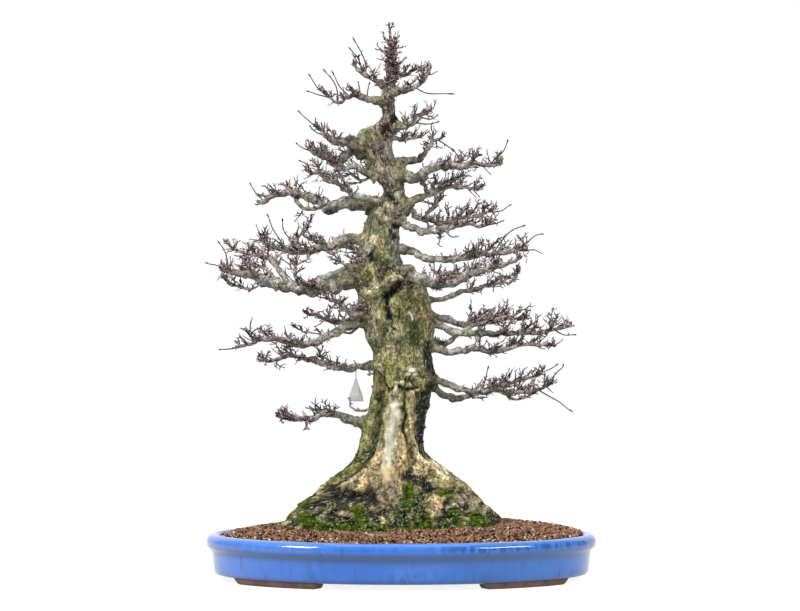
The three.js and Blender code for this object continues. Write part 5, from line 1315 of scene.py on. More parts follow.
def dress_shoots(wood, rng, name):
    """The long single shoots of a limb, with a bud at the tip and a few small twigs."""
    for limb, at, through, far in SHOOTS:
        if limb != name:
            continue
        start = along(np.array(LIMBS[name][4], float), at)[0]
        path = crooked(rng, [start, through, far], 5, 0.8)
        radii = np.linspace(1.35, 0.8, len(path))
        radii[-1] *= 2
        wood.add(np.concatenate([path, path[-1:] * 2 - path[-2:-1]])[None], radii[None], 5, 0.7, 0.3)
        leaf_out(wood, rng, path, 0.3, 11, 4.5, 1.1, 0.6, 0)


def dress_limb(name, seed):
    base, tip, bare, pad, waypoints = LIMBS[name]
    shapes = growth(name, seed)
    rng = np.random.default_rng(seed)
    limit = REACH.get(name, WIDEST)
    wood = Wood(SPARSE.get(name, 1.0), limit if limit < 0 else -WIDEST, limit if limit > 0 else WIDEST)
    curve = crooked(rng, waypoints, 8, 1.5)
    steps = np.linalg.norm(np.diff(curve, axis=0), axis=1)
    share = np.concatenate([[0], np.cumsum(steps)]) / steps.sum()
    girth = limb_radius(base, tip, share) * (1.25 if name.startswith("limb_left") else 1.15)
    exit_gap = np.linalg.norm(curve - exits[name][0], axis=1)
    girth = girth * (1 + 0.5 * np.exp(-((exit_gap / (base * 1.6)) ** 2)))
    near_trunk = np.exp(-((exit_gap / (base * 2 + 14)) ** 2))
    thick_stem(wood, curve, girth, np.clip((share - 0.4) * 0.8, 0, 1) - 0.6 * near_trunk, 0.75)
    small = pad < 20
    spacing = np.interp(pad, [20, 34, 46], [30, 19, 13.5])
    fill_boughs(wood, rng, curve, max(bare * 0.85, 0.15), spacing, min(0.46 * pad, 23),
                lambda part: limb_radius(base, tip, part))
    leaf_out(wood, rng, curve, bare * 0.7, spacing / 2.4, 6 + 0.06 * pad, 1.25, 0.45, 1 if pad > 24 else 0)
    long_shoots(wood, rng, curve, 0 if small else round(pad / 6), 12 + 0.3 * pad)
    dress_arms(wood, rng, name)
    for shape in shapes:
        nearest = curve[int(np.argmin(np.linalg.norm(curve - shape["start"], axis=1)))]
        if np.linalg.norm(nearest - shape["start"]) > 12:
            nearest = shape["start"]
        dress_spray(wood, rng, shape, nearest)
    dress_shoots(wood, rng, name)
    item = wood.build(name.replace("limb", "branch"))
    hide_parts(name)
    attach(item, "root")
    return item


def dress_crown(shapes):
    rng = np.random.default_rng(5)
    wood = Wood(1.25)
    for shape in shapes:
        dress_spray(wood, rng, shape, shape["start"])
    axis = np.array([[(row[1] + row[2]) / 2, 0.0, row[0]] for row in TRUNK if row[0] > LEADER_START])
    leaf_out(wood, rng, smooth_curve(axis, 4), 0.0, 3.2, 14, 1.3, 0.5, 1)
    dress_arms(wood, rng, "trunk")
    item = wood.build("crown_twigs")
    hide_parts("trunk")
    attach(item, "root")
    return item


# Pot


def oval(inset, z, count):
    turn = np.arange(count) / count * 2 * math.pi
    x = (POT_HALF_WIDTH - inset) * np.cos(turn)
    y = (POT_HALF_DEPTH - inset) * np.sin(turn)
    return np.stack([x, y, np.broadcast_to(np.asarray(z, float), turn.shape)], axis=-1)


def build_pot():
    count = 288
    rings = [oval(inset, z, count) for inset, z in POT_PROFILE]
    points = np.concatenate(rings)
    turn = np.arctan2(points[:, 1], points[:, 0])
    waver = 0.25 * np.sin(turn * 3 + 0.6) + 0.2 * np.sin(turn * 7 + 2) + 0.12 * np.sin(turn * 13 + 1)
    body = np.clip((points[:, 2] - 14) / 10, 0, 1)
    points[:, 2] -= np.abs(waver) * body
    quads, tris = ring_faces(len(rings), count)
    item = mesh_object("pot_glazed", np.concatenate([points, [(0, 0, 9.5), (0, 0, 21)]]), quads, tris)
    cutters = []
    for x in DRAIN_X:
        hole = mesh_object("drain", *drain_plug(x))
        cut = item.modifiers.new("drain", "BOOLEAN")
        cut.operation = "DIFFERENCE"
        cut.object = hole
        cut.solver = "EXACT"
        cutters.append(hole)
    apply_modifiers(item)
    for hole in cutters:
        bpy.data.objects.remove(hole)
    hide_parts("pot")
    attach(item, "root")
    return item


def drain_plug(x):
    """A round bar to cut a drain hole with."""
    sides = 32
    top = 32.0
    turn = np.arange(sides) / sides * 2 * math.pi
    rings = []
    for z in (0.0, top):
        rings.append(np.stack([x + DRAIN_RADIUS * np.cos(turn), DRAIN_RADIUS * np.sin(turn),
                               np.full(sides, z)], axis=-1))
    quads, tris = ring_faces(2, sides)
    return np.concatenate([*rings, [(x, 0, 0), (x, 0, top)]]), quads, tris


def apply_modifiers(item):
    graph = bpy.context.evaluated_depsgraph_get()
    mesh = bpy.data.meshes.new_from_object(item.evaluated_get(graph))
    item.modifiers.clear()
    old = item.data
    item.data = mesh
    bpy.data.meshes.remove(old)
    mesh.polygons.foreach_set("use_smooth", np.ones(len(mesh.polygons), bool))


def foot_ring(share):
    """One ring of a foot's section, at a share of its length, drawn in near both ends."""
    ease = max(1 - min(share, 1 - share) / FOOT_EASE, 0)
    ring = []
    for inset, z in FOOT_SECTION:
        lift = z / FOOT_HEIGHT
        low = FOOT_ANGLES_BOTTOM[0] * (1 - lift) + FOOT_ANGLES_TOP[0] * lift
        high = FOOT_ANGLES_BOTTOM[1] * (1 - lift) + FOOT_ANGLES_TOP[1] * lift
        turn = math.radians(low + (high - low) * share)
        eased = FOOT_MIDDLE + (inset - FOOT_MIDDLE) * (1 - 0.12 * ease)
        ring.append(((POT_HALF_WIDTH - eased) * math.cos(turn), (POT_HALF_DEPTH - eased) * math.sin(turn),
                     z if z > 3 else z + 0.8 * ease))
    return np.array(ring)


def build_feet():
    """Low feet that follow the oval, with eased edges."""
    corners = {"back_left": (1, 1), "back_right": (-1, 1), "front_left": (1, -1), "front_right": (-1, -1)}
    for name, (mirror_x, mirror_y) in corners.items():
        rings = [foot_ring(share) * (mirror_x, mirror_y, 1) for share in FOOT_SHARES]
        quads, tris = ring_faces(len(rings), len(FOOT_SECTION))
        if mirror_x * mirror_y < 0:
            quads, tris = quads[:, ::-1], tris[:, ::-1]
        ends = [rings[0].mean(0), rings[-1].mean(0)]
        item = mesh_object("pot_foot_" + name, np.concatenate([*rings, ends]), quads, tris, smooth=False)
        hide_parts("pot")
        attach(item, "root")
        item.data.materials.append(clay)


# Soil


def shell_share(x, y, inset):
    """Distance from the middle as a share of the pot's oval at an inset."""
    return np.sqrt((x / (POT_HALF_WIDTH - inset)) ** 2 + (y / (POT_HALF_DEPTH - inset)) ** 2)


def soil_top(x, y):
    shell = shell_share(x, y, SOIL_INSET)
    lean = SOIL_RISE_RIGHT * x / POT_HALF_WIDTH + SOIL_RISE_BACK * y / POT_HALF_DEPTH
    return SOIL_EDGE + SOIL_MOUND * (1 - np.clip(shell, 0, 1) ** 4) + lean


def build_soil():
    count = 180
    rings = [oval(30 + GAP, 21.4, count), oval(25 + GAP, 36, count), oval(SOIL_INSET + GAP, 62, count)]
    edge = oval(SOIL_INSET + GAP, 0, count)
    for shell in np.linspace(1, 0.3, 42):
        ring = edge * (shell, shell, 1)
        ring[:, 2] = soil_top(ring[:, 0], ring[:, 1]) - BED_DROP
        ring[:, 2] += 1.1 * lump(ring, 14, 1.0, 3)
        rings.append(ring)
    quads, tris = ring_faces(len(rings), count)
    ends = [(0, 0, 21.4), (0, 0, SOIL_EDGE + SOIL_MOUND - BED_DROP)]
    item = mesh_object("soil_bed", np.concatenate([*rings, ends]), quads, tris)
    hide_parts("soil")
    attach(item, "root")
    return item


def pebble_shape():
    """A blunt block of twelve faces."""
    corners = np.array([(a, b, c) for a in (-1, 1) for b in (-1, 1) for c in (-1, 1)], float) * 0.68
    sides = [(0, 1, 3, 2), (4, 6, 7, 5), (0, 4, 5, 1), (2, 3, 7, 6), (0, 2, 6, 4), (1, 5, 7, 3)]
    faces = [(side[0], side[i], side[i + 1]) for side in sides for i in (1, 2)]
    return corners, np.array(faces)


def build_granules():
    """One layer of clay granules over the bed, with a few pale ones."""
    rng = np.random.default_rng(11)
    corners, faces = pebble_shape()
    x, y = np.meshgrid(np.arange(-310, 311, GRANULE_STEP), np.arange(-220, 221, GRANULE_STEP))
    x, y = x.ravel(), y.ravel()
    x = x + rng.uniform(-1.7, 1.7, len(x))
    y = y + rng.uniform(-1.7, 1.7, len(y))
    left, right, front, back = outline(np.full(len(x), 84.0))
    root = ((x - (left + right) / 2) / ((right - left) / 2 - 10)) ** 2 \
        + ((y - (front + back) / 2) / ((back - front) / 2 - 10)) ** 2
    keep = (shell_share(x, y, SOIL_INSET + 2) < 1) & (root > 0.78)
    x, y = x[keep], y[keep]
    size = rng.uniform(1.2, 2.5, len(x)) * np.where(rng.random(len(x)) < 0.1, 1.35, 1)
    z = soil_top(x, y) - 1.0 + rng.uniform(-0.8, 1.7, len(x))
    centre = np.stack([x, y, z], axis=-1)
    turn = rng.uniform(0, 2 * math.pi, (len(x), 2))
    squash = rng.uniform(0.75, 1.2, (len(x), 3)) * size[:, None]
    shapes = corners[None] * (1 + rng.uniform(-0.28, 0.28, (len(x), 8, 3))) * squash[:, None]
    c, s = np.cos(turn), np.sin(turn)
    px = shapes[..., 0] * c[:, :1] - shapes[..., 1] * s[:, :1]
    py = shapes[..., 0] * s[:, :1] + shapes[..., 1] * c[:, :1]
    pz = shapes[..., 2]
    qy = py * c[:, 1:] - pz * s[:, 1:]
    qz = py * s[:, 1:] + pz * c[:, 1:]
    points = np.stack([px, qy, qz], axis=-1) + centre[:, None]
    tris = (faces[None] + (np.arange(len(x)) * 8)[:, None, None]).reshape(-1, 3)
    item = mesh_object("soil_granules", points.reshape(-1, 3), tris=tris, smooth=False)
    pale_share = np.where(shell_share(x, y, SOIL_INSET) > 0.9, 0.075, 0.022)
    pale = (rng.random(len(x)) < pale_share) * rng.uniform(0.75, 1, len(x))
    paint(item, "pale", np.repeat(pale, 8))
    paint(item, "shade", np.repeat(rng.random(len(x)), 8))
    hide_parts("soil")
    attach(item, "root")
    return item


# Moss and weeds


def spike_faces(first):
    """The faces of a spike with three points at its foot and one at its tip."""
    a, b, c, tip = range(first, first + 4)
    return [(a, b, tip), (b, c, tip), (c, a, tip), (a, c, b)]


def build_moss(skin, cover):
    """Short tufts where the bark and the foot of the roots are mossy."""
    rng = np.random.default_rng(23)
    chance = np.clip(cover - 0.35, 0, 1) * (skin[:, 2] > 80) * (skin[:, 2] < 200)
    chosen = np.flatnonzero(rng.random(len(skin)) < chance * 0.16)
    spots = skin[chosen]
    out = unit(spots * (1, 1, 0) + (20, 0, 60))
    points, tris, lights = [], [], []
    total = 0
    for spot, normal in zip(spots, out):
        for _ in range(5):
            lean = unit(normal + rng.normal(0, 0.55, 3))
            length = rng.uniform(1.6, 3.4)
            side = unit(np.cross(lean, (0.3, 0.5, 0.8)))
            other = np.cross(lean, side)
            foot = spot + rng.normal(0, 1.3, 3) - normal * 0.6
            width = rng.uniform(0.35, 0.6)
            ring = [foot + width * (side * math.cos(a) + other * math.sin(a)) for a in (0, 2.09, 4.19)]
            points += ring + [foot + lean * length]
            tris += spike_faces(total)
            lights += [0.0, 0.0, 0.0, rng.uniform(0.5, 1)]
            total += 4
    item = mesh_object("moss", np.array(points), tris=np.array(tris))
    paint(item, "tip", lights)
    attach(item, "root")
    return item


# Patches of small weeds at the foot of the roots: x, z in the front view, half-width and leaves.
WEEDS = [
    (-116, 122, 8, 16), (-96, 96, 22, 34), (-30, 94, 24, 50), (18, 118, 18, 60), (30, 138, 10, 22),
    (6, 126, 10, 24), (116, 112, 16, 36), (140, 98, 18, 40), (96, 98, 16, 26), (-140, 96, 16, 24),
    (-56, 88, 20, 30), (66, 90, 20, 26), (0, 100, 12, 18),
]


def build_weeds(skin):
    """Small round leaves on short stalks, in patches over the moss."""
    rng = np.random.default_rng(31)
    points, tris = [], []
    total = 0
    front = skin[skin[:, 1] < 0]
    for x, z, width, leaves in WEEDS:
        near = front[np.linalg.norm(front[:, [0, 2]] - (x, z), axis=1) < width]
        if not len(near):
            continue
        for _ in range(leaves):
            root = near[rng.integers(len(near))]
            lean = unit(np.array([rng.normal(0, 0.5), -0.7 + rng.normal(0, 0.3), 0.8]))
            centre = root + lean * rng.uniform(2, 7)
            normal = unit(lean + rng.normal(0, 0.5, 3))
            side = unit(np.cross(normal, (0.2, 0.9, 0.1)))
            other = np.cross(normal, side)
            radius = rng.uniform(1.3, 2.7)
            rim = [centre + radius * (side * math.cos(a) + other * math.sin(a) * 0.85)
                   - normal * 0.25 * radius * (math.cos(2 * a)) for a in np.arange(7) / 7 * 2 * math.pi]
            points += rim + [centre + normal * 0.2, centre - normal * 0.25]
            for k in range(7):
                tris.append((total + k, total + (k + 1) % 7, total + 7))
                tris.append((total + (k + 1) % 7, total + k, total + 8))
            total += 9
            stalk = [root, root + side * 0.25, root + other * 0.25, centre]
            points += stalk
            tris += spike_faces(total)
            total += 4
    item = mesh_object("weeds", np.array(points), tris=np.array(tris))
    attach(item, "root")
    return item


# Sachet


def build_sachet():
    hook = hook_route()
    centre_y = hook[-1][1]
    count = 48
    rings = []
    for rise in np.linspace(0, 1, 30):
        wide = SACHET_HALF_WIDTH * np.interp(rise, *SACHET_WIDTHS)
        deep = SACHET_HALF_DEPTH * np.interp(rise, *SACHET_DEPTHS)
        turn = np.arange(count) / count * 2 * math.pi
        pleat = 1 + 0.07 * rise * np.cos(turn * 9 + 4 * rise)
        x = SACHET_X + wide * np.cos(turn) * pleat
        y = centre_y + deep * np.sin(turn) * pleat + 0.3 * np.sin(turn * 3 + rise * 5)
        z = np.full(count, SACHET_TOP - SACHET_HEIGHT * (1 - rise))
        rings.append(np.stack([x, y, z], axis=-1))
    quads, tris = ring_faces(len(rings), count)
    ends = [rings[0].mean(0), rings[-1].mean(0)]
    pouch = mesh_object("sachet_pouch", np.concatenate([*rings, ends]), quads, tris)
    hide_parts("sachet")
    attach(pouch, "root")
    wood = Wood()
    route = smooth_curve(hook, 6)
    wood.add(np.concatenate([route, route[-1:]])[None], np.full((1, len(route)), WIRE_RADIUS), 8, 0, 0)
    wire = wood.build("sachet_wire")
    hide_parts("sachet_hook")
    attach(wire, "root")
    return pouch, wire


# Materials


def material(name):
    item = bpy.data.materials.new(name)
    item.use_nodes = True
    nodes = item.node_tree.nodes
    nodes.clear()
    shader = nodes.new("ShaderNodeBsdfPrincipled")
    output = nodes.new("ShaderNodeOutputMaterial")
    item.node_tree.links.new(shader.outputs["BSDF"], output.inputs["Surface"])
    return item, shader


class Nodes:
    """Short names for the few kinds of node that the materials use."""

    def __init__(self, item):
        self.tree = item.node_tree

    def link(self, source, target):
        self.tree.links.new(source, target)

    def new(self, kind, **settings):
        node = self.tree.nodes.new(kind)
        for key, value in settings.items():
            setattr(node, key, value)
        return node

    def feed(self, socket, value):
        if isinstance(value, (int, float)):
            socket.default_value = value
        elif isinstance(value, tuple):
            socket.default_value = (*value, 1.0)
        else:
            self.link(value, socket)

    def attribute(self, name):
        return self.new("ShaderNodeAttribute", attribute_name=name).outputs["Fac"]

    def place(self, scale=(1, 1, 1)):
        mapping = self.new("ShaderNodeMapping")
        mapping.inputs["Scale"].default_value = scale
        self.link(self.new("ShaderNodeTexCoord").outputs["Object"], mapping.inputs["Vector"])
        return mapping.outputs["Vector"]

    def noise(self, scale, detail=4.0, roughness=0.6, stretch=(1, 1, 1)):
        node = self.new("ShaderNodeTexNoise")
        node.inputs["Scale"].default_value = scale
        node.inputs["Detail"].default_value = detail
        node.inputs["Roughness"].default_value = roughness
        self.link(self.place(stretch), node.inputs["Vector"])
        return node.outputs["Fac"]

    def cells(self, scale):
        node = self.new("ShaderNodeTexVoronoi")
        node.inputs["Scale"].default_value = scale
        self.link(self.place(), node.inputs["Vector"])
        return node.outputs["Distance"]

    def ramp(self, value, stops):
        node = self.new("ShaderNodeValToRGB")
        self.link(value, node.inputs["Fac"])
        ramp = node.color_ramp
        while len(ramp.elements) < len(stops):
            ramp.elements.new(0.5)
        for element, (position, colour) in zip(ramp.elements, stops):
            element.position = position
            if isinstance(colour, (int, float)):
                colour = (colour, colour, colour)
            element.color = (*colour, 1)
        return node.outputs["Color"]

    def mix(self, factor, a, b, blend="MIX"):
        node = self.new("ShaderNodeMix", data_type="RGBA", blend_type=blend)
        self.feed(node.inputs[0], factor)
        self.feed(node.inputs[6], a)
        self.feed(node.inputs[7], b)
        return node.outputs[2]

    def math(self, operation, a, b=0.0):
        node = self.new("ShaderNodeMath", operation=operation)
        self.feed(node.inputs[0], a)
        self.feed(node.inputs[1], b)
        return node.outputs[0]

    def times(self, a, b):
        return self.math("MULTIPLY", a, b)

    def plus(self, a, b):
        return self.math("ADD", a, b)

    def minus(self, a, b):
        return self.math("SUBTRACT", a, b)

    def height(self):
        """The height in metres, from the mesh's own coordinates."""
        return self.coordinates().outputs["Z"]

    def coordinates(self):
        split = self.new("ShaderNodeSeparateXYZ")
        self.link(self.new("ShaderNodeTexCoord").outputs["Object"], split.inputs[0])
        return split

    def bump(self, height, strength, distance):
        node = self.new("ShaderNodeBump")
        node.inputs["Strength"].default_value = strength
        node.inputs["Distance"].default_value = distance
        self.link(height, node.inputs["Height"])
        return node.outputs["Normal"]


def bark_material():
    item, shader = material("maple_bark")
    n = Nodes(item)
    tint = n.new("ShaderNodeAttribute", attribute_name="tint").outputs["Color"]
    moss = n.attribute("moss")
    plain = n.minus(1.0, n.attribute("smooth_wood"))
    fine = n.noise(230, 6, 0.72, (1, 1, 0.75))
    grain = n.noise(620, 3, 0.7)
    shade = n.ramp(fine, [(0.32, 0.20), (0.43, 0.66), (0.54, 1.04), (0.70, 1.70)])
    shade = n.mix(plain, (0.97, 0.97, 0.97), shade)
    colour = n.mix(1.0, tint, shade, "MULTIPLY")
    patchy = n.ramp(n.noise(62, 4, 0.68, (1, 1, 0.55)), [(0.36, 0.62), (0.50, 1.12), (0.64, 1.75)])
    patchy = n.mix(n.times(plain, n.minus(1.0, moss)), (1.08, 1.08, 1.08), patchy)
    colour = n.mix(1.0, colour, patchy, "MULTIPLY")
    crack = n.math("ABSOLUTE", n.minus(n.noise(95, 5, 0.62, (1, 1, 0.6)), 0.5))
    crack = n.times(n.ramp(crack, [(0.004, 1.0), (0.022, 0.0)]), n.times(plain, 0.75))
    colour = n.mix(crack, colour, (0.022, 0.022, 0.016))
    fleck = n.times(n.ramp(grain, [(0.60, 0.0), (0.68, 1.0)]), n.times(plain, 0.4))
    colour = n.mix(n.times(fleck, n.minus(1.0, moss)), colour, (0.60, 0.57, 0.45))
    n.feed(shader.inputs["Base Color"], colour)
    shader.inputs["Roughness"].default_value = 0.85
    shader.inputs["Specular IOR Level"].default_value = 0.2
    height = n.plus(n.times(fine, 0.75), n.times(grain, 0.25))
    height = n.minus(height, n.times(crack, 0.4))
    n.link(n.bump(height, 1.0, 0.0026), shader.inputs["Normal"])
    return item


def branch_material():
    item, shader = material("branch_bark")
    n = Nodes(item)
    broad = n.noise(52, 4, 0.62)
    fine = n.noise(330, 5, 0.7)
    old = n.ramp(broad, [(0.33, (0.055, 0.055, 0.042)), (0.44, (0.19, 0.185, 0.15)),
                         (0.55, (0.37, 0.355, 0.325)), (0.67, (0.64, 0.62, 0.60))])
    lichen = n.ramp(n.noise(33, 3, 0.6), [(0.50, 0.0), (0.60, 0.55)])
    old = n.mix(lichen, old, (0.43, 0.40, 0.27))
    upper = n.ramp(broad, [(0.32, (0.075, 0.056, 0.046)), (0.5, (0.28, 0.225, 0.195)),
                           (0.68, (0.52, 0.45, 0.42))])
    height = n.height()
    old = n.mix(n.ramp(height, [(0.66, 0.0), (0.80, 0.85)]), old, upper)
    mossy = n.ramp(broad, [(0.34, (0.055, 0.055, 0.030)), (0.46, (0.19, 0.175, 0.10)),
                           (0.60, (0.36, 0.32, 0.21)), (0.70, (0.52, 0.48, 0.37))])
    basal = n.ramp(n.plus(n.attribute("young"), 0.6), [(0.12, 1.0), (0.52, 0.0)])
    old = n.mix(basal, old, mossy)
    rough = n.ramp(n.noise(150, 5, 0.72), [(0.36, 0.42), (0.47, 0.9), (0.55, 1.15), (0.68, 1.6)])
    old = n.mix(1.0, old, rough, "MULTIPLY")
    young = n.ramp(n.attribute("shade"), [(0.0, (0.014, 0.009, 0.010)), (0.28, (0.055, 0.032, 0.034)),
                                          (0.42, (0.21, 0.165, 0.11)), (0.58, (0.31, 0.195, 0.20)),
                                          (0.8, (0.46, 0.315, 0.33)), (1.0, (0.78, 0.70, 0.70))])
    age = n.plus(n.attribute("young"), n.times(n.minus(fine, 0.5), 0.9))
    colour = n.mix(n.ramp(age, [(0.2, 0.0), (0.7, 1.0)]), old, young)
    shade = n.ramp(fine, [(0.36, 0.42), (0.5, 1.0), (0.64, 1.5)])
    colour = n.mix(1.0, colour, shade, "MULTIPLY")
    spots = n.ramp(n.noise(150, 3, 0.6), [(0.34, 1.0), (0.42, 0.0)])
    colour = n.mix(n.times(spots, 0.55), colour, (0.03, 0.027, 0.022))
    crown = n.ramp(height, [(0.76, (1.0, 1.0, 1.0)), (0.86, (0.90, 0.87, 0.93))])
    colour = n.mix(1.0, colour, crown, "MULTIPLY")
    n.feed(shader.inputs["Base Color"], colour)
    shader.inputs["Roughness"].default_value = 0.72
    shader.inputs["Specular IOR Level"].default_value = 0.3
    n.link(n.bump(fine, 1.0, 0.0024), shader.inputs["Normal"])
    return item


def glaze_material():
    item, shader = material("blue_glaze")
    n = Nodes(item)
    position = n.coordinates()
    height = position.outputs["Z"]
    cloud = n.noise(7, 5, 0.6, (1, 1, 1.5))
    drips = n.noise(75, 5, 0.65, (1, 1, 0.12))
    base = n.ramp(cloud, [(0.3, (0.010, 0.135, 0.60)), (0.5, (0.022, 0.18, 0.70)),
                          (0.7, (0.055, 0.23, 0.78))])
    across = n.plus(position.outputs["X"], 0.5)
    # Painted light: the glaze is lighter on the left, where the key lamp falls
    base = n.mix(n.ramp(across, [(0.20, 0.8), (0.37, 0.0)]), base, (0.095, 0.25, 0.82))
    # Painted shade: the glaze is darker on the right
    base = n.mix(n.ramp(across, [(0.55, 0.0), (0.66, 0.6), (0.80, 0.3)]), base, (0.004, 0.145, 0.52))
    streaks = n.times(n.ramp(drips, [(0.56, 0.0), (0.72, 1.0)]), 0.5)
    colour = n.mix(streaks, base, (0.012, 0.045, 0.26))
    # The rim is lighter towards its top: partly the thinner glaze at the edge, partly a painted reflection
    # of the bright surroundings
    rim_thin_glaze_and_sheen = n.ramp(height, [(0.059, 0.0), (0.069, 0.30), (0.0735, 0.42), (0.0762, 1.0)])
    colour = n.mix(n.times(rim_thin_glaze_and_sheen, 0.55), colour, (0.20, 0.34, 0.74))
    runs = n.ramp(n.noise(85, 5, 0.62, (1, 1, 0.4)), [(0.44, 0.0), (0.53, 1.0)])
    rim = n.ramp(height, [(0.058, 0.0), (0.062, 1.0), (0.0705, 1.0), (0.0735, 0.0)])
    rim = n.times(rim, n.ramp(across, [(0.10, 0.12), (0.53, 0.2), (0.62, 0.8), (0.82, 0.6)]))
    colour = n.mix(n.times(runs, rim), colour, (0.010, 0.060, 0.26))
    low = n.times(n.ramp(height, [(0.010, 0.3), (0.016, 1.0), (0.025, 0.7), (0.034, 0.0)]),
                 n.ramp(n.noise(60, 4, 0.6, (1, 1, 0.22)), [(0.52, 0.0), (0.58, 1.0)]))
    low = n.times(low, n.ramp(n.noise(9, 2, 0.5), [(0.42, 0.15), (0.58, 1.0)]))
    colour = n.mix(n.times(low, 0.6), colour, (0.012, 0.050, 0.30))
    cove = n.math("ABSOLUTE", n.minus(n.plus(height, n.times(drips, 0.006)), 0.0545))
    cove = n.ramp(n.times(cove, 100), [(0.25, 1.0), (1.0, 0.0)])
    colour = n.mix(n.times(cove, 0.72), colour, (0.030, 0.145, 0.42))
    specks = n.ramp(n.cells(210), [(0.05, 1.0), (0.11, 0.0)])
    rare = n.ramp(n.noise(30, 2, 0.5), [(0.55, 0.0), (0.62, 1.0)])
    colour = n.mix(n.times(n.times(specks, rare), 0.7), colour, (0.02, 0.03, 0.09))
    bare = n.ramp(n.plus(height, n.times(drips, 0.002)), [(0.0108, 1.0), (0.0122, 0.0)])
    colour = n.mix(bare, colour, (0.12, 0.085, 0.065))
    inner = n.plus(n.times(bare, 0.6), 0.1)
    n.feed(shader.inputs["Base Color"], colour)
    n.link(inner, shader.inputs["Roughness"])
    shader.inputs["Specular IOR Level"].default_value = 0.5
    shader.inputs["Coat Weight"].default_value = 0.35
    shader.inputs["Coat Roughness"].default_value = 0.06
    ripple = n.noise(26, 3, 0.5)
    n.link(n.bump(ripple, 0.25, 0.0012), shader.inputs["Normal"])
    return item


def clay_material():
    item, shader = material("bare_clay")
    n = Nodes(item)
    fine = n.noise(300, 5, 0.6)
    colour = n.ramp(n.noise(40, 5, 0.6), [(0.35, (0.085, 0.050, 0.040)), (0.65, (0.17, 0.105, 0.088))])
    colour = n.mix(n.times(n.ramp(fine, [(0.3, 1.0), (0.42, 0.0)]), 0.5), colour, (0.05, 0.035, 0.03))
    n.feed(shader.inputs["Base Color"], colour)
    shader.inputs["Roughness"].default_value = 0.78
    n.link(n.bump(fine, 0.4, 0.0006), shader.inputs["Normal"])
    return item


def soil_material(name, lift):
    item, shader = material(name)
    n = Nodes(item)
    fine = n.noise(520, 4, 0.6)
    dark = tuple(0.09 * lift * c for c in (0.13, 0.066, 0.044))
    light = tuple(0.98 * lift * c for c in (0.37, 0.205, 0.128))
    colour = n.ramp(n.plus(n.times(n.attribute("shade"), 0.7), n.times(fine, 0.3)),
                    [(0.2, dark), (0.9, light)])
    colour = n.mix(n.attribute("pale"), colour, (0.80, 0.76, 0.68))
    n.feed(shader.inputs["Base Color"], colour)
    shader.inputs["Roughness"].default_value = 0.95
    shader.inputs["Specular IOR Level"].default_value = 0.15
    n.link(n.bump(fine, 0.5, 0.0008), shader.inputs["Normal"])
    return item


def leaf_material(name, low, high, attribute):
    item, shader = material(name)
    n = Nodes(item)
    patchy = n.noise(55, 4, 0.6)
    mixed = patchy
    if attribute:
        mixed = n.plus(n.times(patchy, 0.7), n.times(n.attribute(attribute), 0.45))
    n.feed(shader.inputs["Base Color"], n.ramp(mixed, [(0.3, low), (0.75, high)]))
    shader.inputs["Roughness"].default_value = 0.7
    shader.inputs["Subsurface Weight"].default_value = 0.15
    shader.inputs["Subsurface Scale"].default_value = 0.002
    return item


def gauze_material():
    item, shader = material("gauze")
    n = Nodes(item)
    weave = n.noise(900, 2, 0.5)
    colour = n.mix(n.ramp(weave, [(0.4, 0.0), (0.6, 1.0)]), (0.80, 0.80, 0.785), (0.97, 0.97, 0.955))
    n.feed(shader.inputs["Base Color"], colour)
    shader.inputs["Roughness"].default_value = 0.65
    shader.inputs["Transmission Weight"].default_value = 0.25
    n.link(n.bump(weave, 0.3, 0.0004), shader.inputs["Normal"])
    return item


def plain_material(name, colour, roughness, metallic=0.0):
    item, shader = material(name)
    n = Nodes(item)
    shade = n.noise(90, 3, 0.6)
    dim = tuple(c * 0.7 for c in colour)
    n.feed(shader.inputs["Base Color"], n.ramp(shade, [(0.35, dim), (0.65, colour)]))
    shader.inputs["Roughness"].default_value = roughness
    shader.inputs["Metallic"].default_value = metallic
    return item


# Assembly

bark = bark_material()
branch = branch_material()
glaze = glaze_material()
clay = clay_material()

register_stems()
crown_shapes = crown_sprays()
trunk, trunk_skin, trunk_moss = build_trunk()
trunk.data.materials.append(bark)
dress_crown(crown_shapes).data.materials.append(branch)
build_trunk_sprouts(trunk_skin).data.materials.append(branch)
for number, limb_name in enumerate(LIMBS, 1):
    dress_limb(limb_name, number).data.materials.append(branch)

build_pot().data.materials.append(glaze)
build_feet()
build_soil().data.materials.append(soil_material("soil_dark", 0.8))
build_granules().data.materials.append(soil_material("clay_granules", 1.37))
moss_colours = leaf_material("moss", (0.035, 0.075, 0.006), (0.20, 0.34, 0.03), "tip")
build_moss(trunk_skin, trunk_moss).data.materials.append(moss_colours)
weed_colours = leaf_material("weeds", (0.10, 0.20, 0.06), (0.36, 0.50, 0.22), None)
build_weeds(trunk_skin).data.materials.append(weed_colours)
pouch, wire = build_sachet()
pouch.data.materials.append(gauze_material())
wire.data.materials.append(plain_material("wire", (0.35, 0.35, 0.36), 0.4, 1.0))
screens = plain_material("screen_plastic", (0.03, 0.03, 0.03), 0.6)
for name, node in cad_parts.items():
    if name.startswith("drain_screen"):
        node.data.materials.clear()
        node.data.materials.append(screens)


# Stage and light


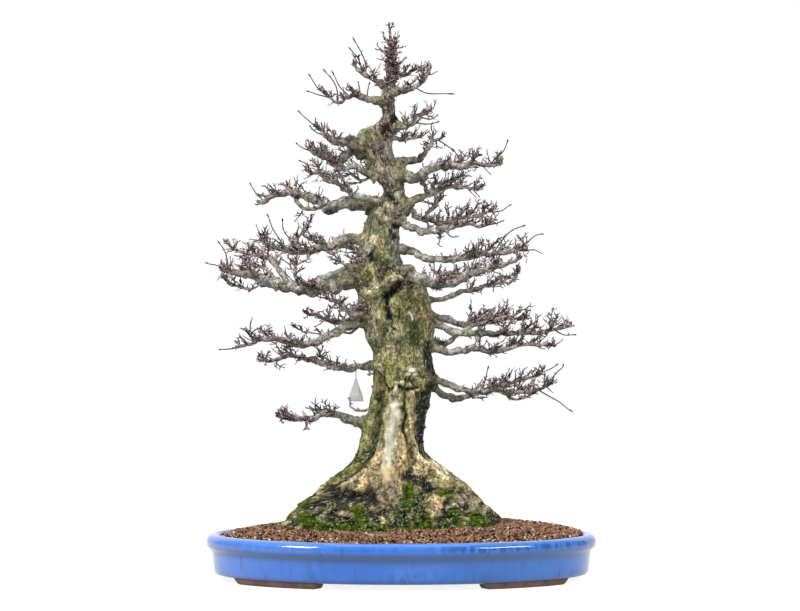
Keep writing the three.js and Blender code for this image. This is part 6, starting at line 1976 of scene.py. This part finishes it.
def build_stage():
    """A white floor that curves up into a backdrop."""
    size = 9.0
    bend_start = 6.6
    bend = 1.5
    profile = [(-size, 0.0), (bend_start, 0.0)]
    for a in np.linspace(0, math.pi / 2, 16)[1:]:
        profile.append((bend_start + bend * math.sin(a), bend - bend * math.cos(a)))
    profile.append((bend_start + bend, size))
    points = [(x * 1000, y * 1000, z * 1000 - 0.2) for y, z in profile for x in (-size, size)]
    quads = [(2 * i, 2 * i + 1, 2 * i + 3, 2 * i + 2) for i in range(len(profile) - 1)]
    item = mesh_object("backdrop", np.array(points), quads)
    surface, shader = material("backdrop_white")
    shader.inputs["Base Color"].default_value = (0.30, 0.30, 0.30, 1)
    shader.inputs["Roughness"].default_value = 0.9
    shader.inputs["Specular IOR Level"].default_value = 0.1
    shader.inputs["Emission Color"].default_value = (1, 1, 1, 1)
    shader.inputs["Emission Strength"].default_value = 0.86
    item.data.materials.append(surface)
    item.visible_diffuse = False


def area_light(name, location, target, size, power, colour=(1, 1, 1), shine=True):
    data = bpy.data.lights.new(name, "AREA")
    data.shape = "RECTANGLE"
    data.size, data.size_y = size
    data.energy = power
    data.color = colour
    item = bpy.data.objects.new(name, data)
    item.visible_glossy = shine
    item.location = location
    item.rotation_euler = (Vector(target) - Vector(location)).to_track_quat("-Z", "Y").to_euler()
    scene.collection.objects.link(item)


def build_sky(tree):
    """Even light from above and in front, less from below."""
    background = tree.nodes["Background"]
    coordinate = tree.nodes.new("ShaderNodeTexCoord")
    split = tree.nodes.new("ShaderNodeSeparateXYZ")
    ramp = tree.nodes.new("ShaderNodeValToRGB")
    lift = tree.nodes.new("ShaderNodeMath")
    tree.links.new(coordinate.outputs["Generated"], split.inputs[0])
    tree.links.new(split.outputs["Z"], lift.inputs[0])
    lift.inputs[1].default_value = 0.5
    ramp.color_ramp.elements[0].position = 0.2
    ramp.color_ramp.elements[0].color = (0.16, 0.16, 0.16, 1)
    ramp.color_ramp.elements[1].position = 0.46
    ramp.color_ramp.elements[1].color = (0.70, 0.70, 0.70, 1)
    zenith = ramp.color_ramp.elements.new(0.8)
    zenith.color = (0.36, 0.36, 0.36, 1)
    tree.links.new(lift.outputs[0], ramp.inputs[0])
    tree.links.new(ramp.outputs["Color"], background.inputs["Color"])
    background.inputs["Strength"].default_value = 1.0


build_stage()
area_light("key", (-2.85, -1.8, 3.1), (0, 0, 0.4), (1.1, 1.0), 132, (1, 0.995, 0.98))
area_light("fill", (2.75, -1.8, 2.6), (0, 0, 0.4), (2.0, 0.8), 72, (0.98, 0.99, 1))
area_light("top", (0, 0.3, 3.4), (0, 0, 0.3), (2.0, 1.6), 14)
area_light("front", (0.1, -5.5, 2.3), (0, 0, 0.35), (2.4, 1.6), 110, shine=False)
world = bpy.data.worlds.new("studio")
world.use_nodes = True
build_sky(world.node_tree)
scene.world = world
scene.view_settings.view_transform = "Standard"

bpy.context.view_layer.update()
